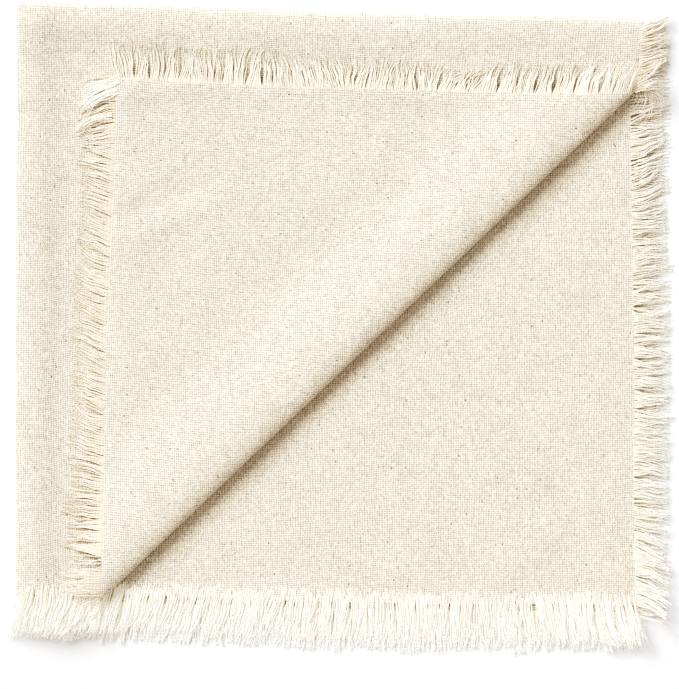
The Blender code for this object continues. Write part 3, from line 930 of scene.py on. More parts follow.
@dataclass
class WovenCloth:
    """The woven cloth, one closed sheet through all its layers."""

    stack: FoldedStack
    finish: LinenFinish = LinenFinish()
    name: str = "folded_cloth"
    fine_step: float = 2.6 * MM
    coarse_step: float = 7.0 * MM
    bend_steps: int = 10
    roll_steps: int = 28
    roll_back_steps: int = 9
    cut_tolerance: float = 0.08 * MM
    sharp_angle: float = 50.0
    edge_thinning: float = 0.55
    rim_band: float = 0.008

    def lines(
        self, low: float, high: float, bend: tuple[float, float], steps: Sequence[float]
    ) -> list[float]:
        """Place the lines of the net that run one way.

        Args:
            low: Where the cloth starts.
            high: Where it ends.
            bend: Where the fold's bend starts and ends.
            steps: The steps before and after the bend.

        Returns:
            The places, in order.
        """
        before = np.linspace(low, bend[0], round((bend[0] - low) / steps[0]) + 1)
        round_bend = np.linspace(*bend, self.bend_steps + 1)
        after = np.linspace(bend[1], high, round((high - bend[1]) / steps[1]) + 1)
        return [*before, *round_bend[1:-1], *after]

    def net(self) -> tuple[np.ndarray, np.ndarray]:
        """Cut the flat cloth into a net along its fold lines.

        Returns:
            Rows of x and y, and triangles.
        """
        quarters = self.stack.quarters
        half_width, half_height = quarters.half_width, quarters.half_height
        fine, coarse = self.fine_step, self.coarse_step
        across = self.lines(-half_width, half_width, quarters.first_bend, (fine, fine))
        upward = self.lines(-half_height, half_height, quarters.second_bend, (coarse, fine))
        columns = len(across)
        points = [(x, y, 0.0) for y in upward for x in across]
        cells = [
            (at, at + 1, at + columns + 1, at + columns)
            for row in range(len(upward) - 1)
            for at in range(row * columns, (row + 1) * columns - 1)
        ]
        mesh = bmesh.new()
        corners = [mesh.verts.new(point) for point in points]
        for cell in cells:
            mesh.faces.new([corners[i] for i in cell])
        self.cut_roll_lines(mesh)
        bmesh.ops.triangulate(mesh, faces=mesh.faces[:])
        mesh.verts.index_update()
        flat = np.array([vert.co[:2] for vert in mesh.verts])
        triangles = np.array([[vert.index for vert in face.verts] for face in mesh.faces])
        mesh.free()
        return flat, triangles

    def cut_roll_lines(self, mesh: bmesh.types.BMesh) -> None:
        """Cut the net of the top sheet along the lines round the roll and down its slope."""
        roll = self.stack.roll
        angles, lengths = roll.oval()
        bend = np.interp(np.linspace(0.0, math.pi, self.roll_steps + 1), angles, lengths)
        bend = bend * roll.rise_in_middle
        slope = bend[-1] + np.linspace(0.0, roll.back_slope, self.roll_back_steps + 1)[1:]
        reach = roll.reach_per_rise * roll.rise_in_middle
        for way in (*bend, *slope):
            out = (way - reach) * roll.out
            low_end = self.stack.on_flat_cloth(np.array(roll.start) + out)
            along = self.stack.on_flat_cloth(np.array(roll.end) + out) - low_end
            normal = np.array([along[1], -along[0]]) / np.linalg.norm(along)
            faces = []
            for face in mesh.faces:
                middle = face.calc_center_median()
                side = (middle.x - low_end[0]) * normal[0] + (middle.y - low_end[1]) * normal[1]
                if min(middle.xy) > 0.0 and abs(side) < 2.0 * self.fine_step:
                    faces.append(face)
            around = {item for face in faces for item in (*face.verts, *face.edges)}
            bmesh.ops.bisect_plane(
                mesh,
                geom=[*faces, *around],
                dist=self.cut_tolerance,
                plane_co=(*low_end, 0.0),
                plane_no=(*normal, 0.0),
            )

    def bake_map(self, flat: np.ndarray, triangles: np.ndarray, rim: np.ndarray) -> np.ndarray:
        """Lay the faces out in the unit square: upper side, under side, and the rim in a band.

        Args:
            flat: Places of the points on the flat cloth.
            triangles: The triangles of one side.
            rim: The edges of the cloth, two point numbers each.

        Returns:
            Rows of u and v for the corners of the upper side, the under side and the rim.
        """
        half = np.array([self.stack.quarters.half_width, self.stack.quarters.half_height])
        share = (flat + half) / (2.0 * half)
        tall = (1.0 - 2.0 * self.rim_band) / 2.0
        margin = self.rim_band / 4.0
        upper = np.stack([share[:, 0], margin + share[:, 1] * (tall - 2 * margin)], axis=1)
        lower = upper + (0.0, tall)
        upper[:, 0] = margin + upper[:, 0] * (1.0 - 2 * margin)
        lower[:, 0] = margin + lower[:, 0] * (1.0 - 2 * margin)
        band = 2.0 * tall + margin
        depth = (1.0 - band) / 5.0
        rows = []
        for a, b in rim:
            upright = abs(flat[a, 0] - flat[b, 0]) < abs(flat[a, 1] - flat[b, 1])
            far = (flat[a] + flat[b])[0 if upright else 1] > 0.0
            low = band + depth * (2 * upright + far) * 1.2
            start, end = share[a, 1 if upright else 0], share[b, 1 if upright else 0]
            rows += [(start, low), (end, low), (end, low + depth), (start, low + depth)]
        sides = (upper[triangles], lower[triangles[:, ::-1]])
        return np.concatenate([*(side.reshape(-1, 2) for side in sides), rows])

    def build(self) -> bpy.types.Object:
        """Fold the net, close it to a sheet, and give it its maps and its finish.

        Returns:
            The cloth.
        """
        flat, triangles = self.net()
        count = len(flat)
        quarters = self.stack.quarters
        x, y = flat.T
        from_edge = np.minimum(quarters.half_width - abs(x), quarters.half_height - abs(y))
        at_edge = from_edge < self.cut_tolerance
        half = self.stack.thickness / 2 * (1.0 - self.edge_thinning * at_edge)
        sides = [np.column_stack([flat, height]) for height in (half, -half)]
        points = np.concatenate([self.stack.place(side)[0] for side in sides]) + CORNER
        edges = np.concatenate([triangles[:, [0, 1]], triangles[:, [1, 2]], triangles[:, [2, 0]]])
        known = {tuple(edge) for edge in edges.tolist()}
        rim = np.array([edge for edge in edges.tolist() if (edge[1], edge[0]) not in known])
        rim_faces = np.column_stack([rim[:, 0] + count, rim[:, 1] + count, rim[:, 1], rim[:, 0]])
        faces = [*triangles.tolist(), *(triangles[:, ::-1] + count).tolist(), *rim_faces.tolist()]
        mesh = new_mesh(self.name, points, faces)
        corners = np.concatenate(
            [triangles.ravel(), triangles[:, ::-1].ravel(), (rim_faces % count).ravel()]
        )
        set_uv(mesh, "weave", flat[corners])
        set_uv(mesh, "OFBake", self.bake_map(flat, triangles, rim))
        mesh.shade_smooth()
        mesh.set_sharp_from_angle(angle=math.radians(self.sharp_angle))
        mesh.materials.append(self.finish.material(quarters.half_width, quarters.half_height))
        return show(self.name, mesh)


# --- Fringe ---------------------------------------------------------------------------------------


class Side(Enum):
    """A side of the flat cloth: the way along it and the way out of it."""

    FAR = ((1.0, 0.0), (0.0, 1.0))
    NEAR = ((-1.0, 0.0), (0.0, -1.0))
    RIGHT = ((0.0, -1.0), (1.0, 0.0))
    LEFT = ((0.0, 1.0), (-1.0, 0.0))

    @property
    def along(self) -> np.ndarray:
        """The way along the side."""
        return np.array(self.value[0])

    @property
    def out(self) -> np.ndarray:
        """The way out of the side."""
        return np.array(self.value[1])


class Lies(Enum):
    """How a stretch of fringe runs in the fold: across it, or down one of its sides."""

    ACROSS = 0
    DOWN = 1


@dataclass(frozen=True)
class Comb:
    """How the threads lie about one place of a stretch, in millimetres.

    The place is measured across or down the fold, and the lean is that of the tips, to the right or
    downwards. The length is a share of the stretch's own, and the draw is how far neighbouring
    threads draw together at their tips, from 0 to 1. The rise is how far the tips stand up off what
    the stretch lies on, and the fill is the share of the threads that are left.
    """

    place: float
    lean: float
    length: float = 1.0
    draw: float = 0.45
    curl: float = 0.0
    rise: float = 0.1
    fill: float = 1.0


@dataclass(frozen=True)
class Lock:
    """A lock of threads: its path in the fold, and its spread at both ends, in mm."""

    points: tuple[tuple[float, float, float], ...]
    threads: int = 1
    root_spread: float = 0.8
    tip_spread: float = 1.2
    girth: float = 0.85
    # Painted light of the lock's threads
    painted_light: float = 0.6


@dataclass(frozen=True)
class Stretch:
    """A stretch of fringe on one side of one layer.

    Its start and end are measured along the side of the flat cloth, and its partings across or down
    the fold, in millimetres. The bed is the height that the threads come down to, or None for what
    lies on the top sheet, and settle says how soon they come down. The hump says how far they arch,
    and tufts gives the fewest and the most threads of a tuft. Painted light, that makes the yarn
    whiter, is given for the first and the last thread across or down the fold, and the bed's
    painted shade is how much less of it the bed's strands have.
    """

    node: str
    side: Side
    start: float
    end: float
    lies: Lies
    length: float
    bed: float | None
    settle: float
    combs: tuple[Comb, ...]
    partings: tuple[float, ...] = ()
    locks: tuple[Lock, ...] = ()
    root_depth: tuple[float, float] = (0.0 * MM, 0.7 * MM)
    root_lift: float = 0.10 * MM
    hump: float = 1.0
    tufts: tuple[int, int] = (6, 22)
    density: float = 1.0
    painted_light: tuple[float, float] = (0.0, 0.0)
    bed_painted_shade: float = 0.5
    seed: int = 1


@dataclass(frozen=True)
class Paths:
    """Threads as rows of points, with a girth, a draw of chance and the painted light of each
    thread.

    The lengths are those along each thread up to each of its points.
    """

    points: np.ndarray
    girth: np.ndarray
    draw: np.ndarray
    painted_light: np.ndarray
    lengths: np.ndarray


@dataclass(frozen=True)
class Tousle:
    """How far chance moves the threads, in millimetres where it is a length.

    One number is a spread about the middle, and two are the least and the most. What a tuft has is
    the same for all its threads.
    """

    root: float = 0.07
    tuft_lean: float = 0.75
    tuft_length: float = 0.045
    tuft_draw: tuple[float, float] = (0.35, 1.20)
    tuft_bow: float = 0.55
    tuft_rise: float = 0.45
    tuft_wave: tuple[float, float] = (0.10, 0.34)
    tuft_wave_length: tuple[float, float] = (6.0, 11.0)
    tuft_wave_start: float = 0.45
    length: float = 0.03
    torn: float = 0.06
    torn_length: tuple[float, float] = (0.55, 0.85)
    lean: float = 0.45
    bow: float = 0.25
    hook: float = 0.8
    wave_length: tuple[float, float] = (3.0, 5.5)
    wave: tuple[float, float] = (0.02, 0.11)
    rise: float = 0.35
    sag: tuple[float, float] = (0.80, 1.0)
    girth: float = 0.10
    girth_limits: tuple[float, float] = (0.75, 1.35)
    lock_girth: float = 0.08
    lock_place: float = 0.12
    lock_length: tuple[float, float] = (0.86, 1.0)
    lock_sway: tuple[float, float] = (0.05, 0.45)
    lock_bends: tuple[float, float] = (4.0, 9.0)
    lock_lean: float = 0.45
    lock_lift: tuple[float, float] = (-0.25, 0.35)


@dataclass
class Comber:
    """Combs the threads of a stretch on the flat cloth and takes them through the fold.

    Each yarn frays into strands: one on top that draws together with others to tufts, and finer
    ones that lie straighter in a bed below it.
    """

    stack: FoldedStack
    strand_pitch: float = 0.34 * MM
    strands: int = 3
    bed_draw: float = 0.25
    bed_girth: float = 1.05
    radius: float = 0.13 * MM
    path_points: int = 12
    under_drop: float = 0.20 * MM
    bed_hump: float = 0.3
    steepest: float = 0.93
    least_out: float = 0.2
    draw_haste: float = 1.15
    most_drawn: float = 0.95
    lean_power: float = 1.35
    rise_power: float = 1.5
    hook_from: float = 0.55
    hook_gain: float = 4.0
    # What the middle of a thread keeps above the cloth, its bed and the table, in its own radius
    above_cloth: float = 1.4
    above_bed: float = 1.2
    above_table: float = 1.1
    spline_steps: int = 8
    tousle: Tousle = Tousle()

    def side_reach(self, side: Side) -> float:
        """Give how far a side lies from the middle of the flat cloth."""
        quarters = self.stack.quarters
        return quarters.half_width if side in (Side.LEFT, Side.RIGHT) else quarters.half_height

    def tufts(self, stretch: Stretch, places: np.ndarray, rng: np.random.Generator) -> np.ndarray:
        """Number the tufts that the threads draw together to.

        Args:
            stretch: The stretch, with its partings.
            places: Places of the roots across or down the fold.
            rng: Source of chance.

        Returns:
            One number a thread.
        """
        numbers = np.zeros(len(places), int)
        left = rng.integers(*stretch.tufts)
        for i in range(1, len(places)):
            low, high = sorted(places[i - 1 : i + 1])
            parted = any(low < parting * MM <= high for parting in stretch.partings)
            left -= 1
            numbers[i] = numbers[i - 1] + (parted or left <= 0)
            if numbers[i] != numbers[i - 1]:
                left = rng.integers(*stretch.tufts)
        return numbers

    def fold_beside(self, stretch: Stretch, points: np.ndarray) -> tuple[np.ndarray, np.ndarray]:
        """Fold threads with their layer. What leans past a fold's end stays flat and sticks out.

        Args:
            stretch: The stretch.
            points: Places on and beside the flat cloth.

        Returns:
            Places in the fold, and how far each has come down from the roll.
        """
        quarters = self.stack.quarters
        side = stretch.side
        inside = (stretch.start + stretch.end) / 2 * side.along + self.side_reach(side) * side.out
        right, far = inside[0] > quarters.first_line, inside[1] > quarters.second_line
        clear = quarters.end_clearance
        kept = points.copy()
        if right:
            kept[:, 0] = np.maximum(points[:, 0], quarters.first_bend[1] + clear)
        else:
            kept[:, 0] = np.minimum(points[:, 0], quarters.first_bend[0] - clear)
        if far:
            kept[:, 1] = np.maximum(points[:, 1], quarters.second_bend[1] + clear)
        else:
            kept[:, 1] = np.minimum(points[:, 1], quarters.second_bend[0] - clear)
        turned = np.array([1.0 if right else -1.0, -1.0 if far else 1.0, 0.0])
        places, landed = self.stack.place(kept)
        return places + (points - kept) * turned, landed

    def comb(self, stretch: Stretch) -> Paths:
        """Comb all the threads of a stretch.

        Args:
            stretch: The stretch.

        Returns:
            The threads in the fold.
        """
        rng = np.random.default_rng(stretch.seed)
        by = self.tousle
        side = stretch.side
        reach = self.side_reach(side)
        count = round((stretch.end - stretch.start) * stretch.density / self.strand_pitch)
        step = (stretch.end - stretch.start) / count
        along = stretch.start + (np.arange(count) + 0.5) * step
        along = along + rng.normal(0.0, by.root * MM, count)
        roots = along[:, None] * side.along + reach * side.out
        rooted, _ = self.fold_beside(stretch, np.column_stack([roots, np.zeros(count)]))
        places = rooted[:, 0] if stretch.lies is Lies.ACROSS else -rooted[:, 1]
        onward = 1.0 if places[-1] > places[0] else -1.0
        table = sorted(stretch.combs, key=lambda comb: comb.place)
        at = [comb.place * MM for comb in table]
        lean, length, draw, curl, stand, fill = (
            np.interp(places, at, [getattr(comb, name) for comb in table])
            for name in ("lean", "length", "draw", "curl", "rise", "fill")
        )

        # Chance, tuft by tuft
        in_bed = np.arange(count) % self.strands > 0
        tuft = self.tufts(stretch, places, rng)
        tufts = tuft[-1] + 1
        middle = np.array([along[tuft == i].mean() for i in range(tufts)])[tuft]
        tuft_lean = rng.normal(0.0, by.tuft_lean, tufts)[tuft]
        tuft_length = rng.normal(1.0, by.tuft_length, tufts)[tuft]
        tuft_draw = rng.uniform(*by.tuft_draw, tufts)[tuft] * np.where(in_bed, self.bed_draw, 1.0)
        tuft_bow = rng.normal(0.0, by.tuft_bow, tufts)[tuft]
        tuft_rise = rng.uniform(0.0, by.tuft_rise, tufts)[tuft]
        tuft_wave = rng.uniform(*by.tuft_wave, tufts)[tuft]
        tuft_wave_length = rng.uniform(*by.tuft_wave_length, tufts)[tuft] * MM
        tuft_wave_start = rng.uniform(0.0, math.tau, tufts)[tuft]
        tuft_wave_start = tuft_wave_start + rng.normal(0.0, by.tuft_wave_start, count)

        # Chance, thread by thread
        depth = rng.uniform(*stretch.root_depth, count)[:, None]
        full = stretch.length * length * tuft_length * rng.normal(1.0, by.length, count)
        torn = rng.random(count) < by.torn
        full = np.where(torn, full * rng.uniform(*by.torn_length, count), full)
        tip = (lean + tuft_lean + rng.normal(0.0, by.lean, count)) * MM * onward
        tip = np.clip(tip, -self.steepest * full, self.steepest * full)
        out_reach = np.sqrt(np.maximum(full**2 - tip**2, (self.least_out * full) ** 2))
        bow = (tuft_bow + rng.normal(0.0, by.bow, count)) * MM
        hook = (rng.normal(0.0, by.hook, count) + curl) * MM * onward
        wave_start = rng.uniform(0.0, math.tau, count)
        wave_length = rng.uniform(*by.wave_length, count) * MM
        wave_height = rng.uniform(*by.wave, count) * MM
        hump_height = (tuft_rise + rng.uniform(0.0, by.rise, count)) * stretch.hump * MM
        hump_height = hump_height * np.where(in_bed, self.bed_hump, 1.0)
        sag = rng.uniform(*by.sag, count)

        # The threads on the flat cloth, and in the fold
        share = np.linspace(0.0, 1.0, self.path_points)[None, :]
        drawn = (draw * tuft_draw)[:, None].clip(0.0, self.most_drawn)
        drawn = ease(share * self.draw_haste) * drawn
        turns = share * (full / wave_length)[:, None] * math.tau + wave_start[:, None]
        waves = wave_height[:, None] * np.sin(turns)
        turns = share * (full / tuft_wave_length)[:, None] * math.tau + tuft_wave_start[:, None]
        waves = waves + (tuft_wave * MM)[:, None] * np.sin(turns)
        sideways = (
            (middle - along)[:, None] * drawn
            + tip[:, None] * share**self.lean_power
            + bow[:, None] * np.sin(math.pi * share)
            + hook[:, None] * np.maximum(share - self.hook_from, 0.0) ** 2 * self.hook_gain
            + waves * ease(share * 2.0)
        )
        outward = -depth + (out_reach[:, None] + depth) * share
        flat = (
            (along[:, None] + sideways)[..., None] * side.along
            + (reach + outward)[..., None] * side.out
        ).reshape(-1, 2)
        folded, landed = self.fold_beside(stretch, np.column_stack([flat, np.zeros(len(flat))]))
        x, y, z = folded.T
        hump = (hump_height[:, None] * np.sin(math.pi * np.minimum(share * 1.1, 1.0)) ** 2).ravel()
        standing = ((stand * MM)[:, None] * share**self.rise_power).ravel()
        down = (sag[:, None] * ease(share * stretch.settle)).ravel()
        under = (self.under_drop * in_bed[:, None] * (0.3 + 0.7 * ease(share * 3.0))).ravel()
        if stretch.bed is None:
            resting = self.stack.top_sheet_height(x, y) + self.radius * self.above_cloth
            down, hump, standing = (part * ease(landed * 3.0) for part in (down, hump, standing))
        else:
            resting = stretch.bed + self.radius * self.above_bed
        lift = stretch.root_lift * (landed if stretch.bed is None else 1.0)
        lying = (z + lift) * (1.0 - down) + (resting + self.under_drop) * down - under
        height = np.maximum(lying + hump + standing, self.radius * self.above_table)
        points = np.stack([x, y, height], axis=1)
        girth = rng.normal(1.0, by.girth, count).clip(*by.girth_limits)
        girth = girth * np.where(in_bed, self.bed_girth, 1.0)
        # Painted light across the stretch; the bed strands below get painted shade
        first, last = stretch.painted_light
        painted_light = first + (last - first) * np.linspace(0.0, 1.0, count)[:: int(onward)]
        painted_light = painted_light - stretch.bed_painted_shade * in_bed * (1.0 - painted_light)
        left = rng.random(count) < fill
        paths = points.reshape(count, self.path_points, 3)[left]
        girth, painted_light = girth[left], painted_light[left]
        for lock in stretch.locks:
            paths = np.concatenate([paths, self.lay_lock(lock, rng)])
            lock_girth = lock.girth * rng.normal(1.0, by.lock_girth, lock.threads)
            girth = np.append(girth, lock_girth)
            painted_light = np.append(painted_light, np.full(lock.threads, lock.painted_light))
        draws = rng.random(len(paths))
        lengths = np.linalg.norm(np.diff(paths, axis=1), axis=2).cumsum(axis=1)
        lengths = np.concatenate([np.zeros((len(paths), 1)), lengths], axis=1)
        return Paths(paths + CORNER, girth, draws, painted_light, lengths)

    def lay_lock(self, lock: Lock, rng: np.random.Generator) -> np.ndarray:
        """Lay the threads of a lock side by side along its path.

        Args:
            lock: The lock.
            rng: Source of chance.

        Returns:
            The threads' points in the fold, in metres.
        """
        by = self.tousle
        through = np.array(lock.points, float) * MM
        before, after = 2 * through[:1] - through[1:2], 2 * through[-1:] - through[-2:-1]
        ends = np.concatenate([before, through, after])
        t = np.linspace(0.0, 1.0, self.spline_steps, endpoint=False)[:, None]
        smooth = []
        for p0, p1, p2, p3 in zip(ends, ends[1:], ends[2:], ends[3:], strict=False):
            square, cube = 2 * p0 - 5 * p1 + 4 * p2 - p3, 3 * p1 - p0 - 3 * p2 + p3
            smooth.append(0.5 * (2 * p1 + (p2 - p0) * t + square * t**2 + cube * t**3))
        line = np.concatenate([*smooth, through[-1:]])
        way = np.concatenate([[0.0], np.linalg.norm(np.diff(line, axis=0), axis=1).cumsum()])
        share = np.linspace(0.0, 1.0, self.path_points)
        threads = []
        for place in np.linspace(-1.0, 1.0, lock.threads) if lock.threads > 1 else (0.0,):
            place += rng.normal(0.0, by.lock_place)
            at = share * way[-1] * rng.uniform(*by.lock_length)
            lead = np.stack([np.interp(at, way, line[:, axis]) for axis in range(3)], axis=1)
            ahead = np.gradient(lead[:, :2], axis=0)
            beside = np.stack([-ahead[:, 1], ahead[:, 0]], axis=1)
            beside /= np.linalg.norm(beside, axis=1)[:, None] + 1e-9
            spread = place * (lock.root_spread + (lock.tip_spread - lock.root_spread) * share)
            sway, bends = rng.uniform(*by.lock_sway), rng.uniform(*by.lock_bends)
            sway = sway * np.sin(share * bends + rng.uniform(0.0, math.tau))
            sway = (sway + rng.normal(0.0, by.lock_lean) * share) * ease(share * 3.0)
            lead[:, :2] += beside * ((spread + sway) * MM)[:, None]
            lead[:, 2] += rng.uniform(*by.lock_lift) * MM * ease(share * 2.0)
            threads.append(lead)
        return np.array(threads)


@dataclass
class Spinner:
    """Spins combed paths into yarn with a Geometry Nodes tree."""

    finish: YarnFinish = YarnFinish()
    radius: float = 0.225 * MM
    flatness: float = 0.45
    sides: int = 5
    kink_height: float = 0.16 * MM
    kink_length: float = 2.8 * MM
    kink_gain: float = 4.0
    kink_seed: float = 3.0
    taper_from: float = 0.45
    taper: float = 0.55
    cell_margin: float = 0.06
    cell_shape: float = 6.0
    tree: bpy.types.GeometryNodeTree = field(init=False)
    material: bpy.types.Material = field(init=False)

    def __post_init__(self) -> None:
        """Make the material and the tree once, for all stretches."""
        self.material = self.finish.material()
        self.tree = self.make_tree()

    @property
    def inputs(self) -> dict[str, float]:
        """The values that the tree takes in, by name."""
        return {
            "Yarn Radius": self.radius,
            "Yarn Flatness": self.flatness,
            "Kink Height": self.kink_height,
            "Kink Length": self.kink_length,
            "Kink Seed": self.kink_seed,
            "Yarn Sides": self.sides,
        }

    def make_tree(self) -> bpy.types.GeometryNodeTree:
        """Build the tree that turns edges into kinked, tapered yarn.

        Returns:
            The tree. Next to the paths it takes in the yarn's own values.
        """
        tree = bpy.data.node_groups.new("spun_yarn", "GeometryNodeTree")
        sockets = tree.interface
        sockets.new_socket("Geometry", in_out="INPUT", socket_type="NodeSocketGeometry")
        for name, value in self.inputs.items():
            kind = "NodeSocketInt" if isinstance(value, int) else "NodeSocketFloat"
            sockets.new_socket(name, in_out="INPUT", socket_type=kind)
        sockets.new_socket("Geometry", in_out="OUTPUT", socket_type="NodeSocketGeometry")

        def add(
            kind: str, inputs: dict, settings: dict | None = None, out: int | str = 0
        ) -> bpy.types.NodeSocket:
            """Add a node and give one of its outputs."""
            return add_node(tree, kind, settings, inputs).outputs[out]

        def work(operation: str, *values: object) -> bpy.types.NodeSocket:
            """Add a Math node."""
            return add("ShaderNodeMath", dict(enumerate(values)), {"operation": operation})

        given = add_node(tree, "NodeGroupInput").outputs
        place = add("GeometryNodeInputPosition", {})
        number = {"data_type": "FLOAT"}
        reach, girth = (
            add("GeometryNodeInputNamedAttribute", {"Name": name}, number, "Attribute")
            for name in ("reach", "girth")
        )
        closer = work("DIVIDE", 1.0, given["Kink Length"])
        noise = {"Vector": place, "W": given["Kink Seed"], "Scale": closer, "Detail": 1.0}
        noise = add("ShaderNodeTexNoise", noise, {"noise_dimensions": "4D"}, "Color")
        centred = {0: noise, 1: (0.5, 0.5, 0.5)}
        centred = add("ShaderNodeVectorMath", centred, {"operation": "SUBTRACT"})
        depth = work("MULTIPLY", work("MULTIPLY", given["Kink Height"], reach), self.kink_gain)
        kink = add("ShaderNodeVectorMath", {0: centred, "Scale": depth}, {"operation": "SCALE"})
        kinked = add("GeometryNodeSetPosition", {"Geometry": given["Geometry"], "Offset": kink})
        curve = add("GeometryNodeMeshToCurve", {"Mesh": kinked})
        level = add("GeometryNodeSetCurveNormal", {0: curve}, {"mode": "Z_UP"})
        circle = {"Resolution": given["Yarn Sides"], "Radius": 1.0}
        circle = add("GeometryNodeCurvePrimitiveCircle", circle, None, "Curve")
        squash = add("ShaderNodeCombineXYZ", {"X": 1.0, "Y": given["Yarn Flatness"], "Z": 1.0})
        ring = add("GeometryNodeTransform", {"Geometry": circle, "Scale": squash})
        thick = work("MULTIPLY", given["Yarn Radius"], girth)
        tube = {"Curve": level, "Profile Curve": ring, "Scale": thick, "Fill Caps": True}
        tube = add("GeometryNodeCurveToMesh", tube)
        smooth = add("GeometryNodeSetShadeSmooth", {"Geometry": tube})
        real = add("GeometryNodeRealizeInstances", {"Geometry": smooth})
        dressed = add("GeometryNodeSetMaterial", {"Geometry": real, "Material": self.material})
        add_node(tree, "NodeGroupOutput", None, {0: dressed})
        return tree

    def spin(self, name: str, paths: Paths) -> bpy.types.Object:
        """Spin paths into a piece of yarn tubes.

        Args:
            name: Name of the piece.
            paths: The combed threads.

        Returns:
            The piece, a plain mesh with its UV maps.
        """
        threads, length, _ = paths.points.shape
        index = np.arange(threads * length).reshape(threads, length)
        links = np.stack([index[:, :-1].ravel(), index[:, 1:].ravel()], axis=1)
        mesh = new_mesh(name + "_paths", paths.points, [], links.tolist())
        share = np.linspace(0.0, 1.0, length)[None, :].repeat(threads, axis=0)
        taper = 1.0 - self.taper * ease((share - self.taper_from) / (1.0 - self.taper_from))
        values = {
            "reach": share,
            "girth": paths.girth[:, None] * taper,
            "draw": paths.draw[:, None].repeat(length, axis=1),
            # The painted light of each thread, which its finish reads
            "painted_light": paths.painted_light[:, None].repeat(length, axis=1),
        }
        for key, column in values.items():
            layer = mesh.attributes.new(key, "FLOAT", "POINT")
            layer.data.foreach_set("value", column.astype(np.float32).ravel())
        source = show(name + "_paths", mesh)
        modifier = source.modifiers.new("spun_yarn", "NODES")
        modifier.node_group = self.tree
        for item in self.tree.interface.items_tree:
            if item.name in self.inputs:
                modifier[item.identifier] = self.inputs[item.name]
        seen = source.evaluated_get(bpy.context.evaluated_depsgraph_get())
        spun = bpy.data.meshes.new_from_object(seen)
        spun.name = name
        source.modifiers.remove(modifier)
        bpy.data.objects.remove(source)
        bpy.data.meshes.remove(mesh)
        self.lay_out(spun, paths)
        return show(name, spun)

    def lay_out(self, mesh: bpy.types.Mesh, paths: Paths) -> None:
        """Add the UV maps: the yarn's own, and one cell a thread in the unit square.

        Args:
            mesh: The spun yarn, thread by thread, ring by ring.
            paths: The threads it was spun from.
        """
        threads, length, _ = paths.points.shape
        sides = self.sides
        wanted = threads * length * sides
        if len(mesh.vertices) != wanted:
            raise ValueError(f"{mesh.name}: {len(mesh.vertices)} points, not {wanted}")
        corners = np.zeros(len(mesh.loops), int)
        mesh.loops.foreach_get("vertex_index", corners)
        starts = np.zeros(len(mesh.polygons), int)
        totals = np.zeros(len(mesh.polygons), int)
        mesh.polygons.foreach_get("loop_start", starts)
        mesh.polygons.foreach_get("loop_total", totals)
        face = np.repeat(np.arange(len(starts)), totals)
        thread, rest = np.divmod(corners, length * sides)
        ring, turn = np.divmod(rest, sides)
        low_ring = np.minimum.reduceat(ring, starts)[face]
        high_ring = np.maximum.reduceat(ring, starts)[face]
        first, last = np.minimum.reduceat(turn, starts), np.maximum.reduceat(turn, starts)
        wraps = (first == 0) & (last == sides - 1)
        cap = low_ring == high_ring
        turn = np.where(wraps[face] & ~cap & (turn == 0), sides, turn)
        along = paths.lengths[thread, ring]
        set_uv(mesh, "yarn", np.stack([turn / sides, along], axis=1))
        columns = max(1, round(math.sqrt(threads / self.cell_shape)))
        rows = math.ceil(threads / columns)
        margin, width = self.cell_margin, 1.0 - 2.0 * self.cell_margin
        angle = turn / sides * math.tau
        disc = 0.5 + 0.4 * np.stack([np.cos(angle), np.sin(angle)], axis=1)
        # A thread's two end caps lie in the margins of its cell
        in_margin = np.where(ring == 0, 0.02, 0.95) + 0.03 * disc[:, 0]
        in_u = np.where(cap, in_margin, margin + width * ring / (length - 1))
        in_v = np.where(cap, disc[:, 1], margin + width * turn / sides)
        cell_u, cell_v = thread % columns, thread // columns
        cells = np.stack([(cell_u + in_u) / columns, (cell_v + in_v) / rows], axis=1)
        set_uv(mesh, "OFBake", cells)



def combs(*rows: tuple[float, ...]) -> tuple[Comb, ...]:
    """Make a comb of each row of numbers."""
    return tuple(Comb(*row) for row in rows)


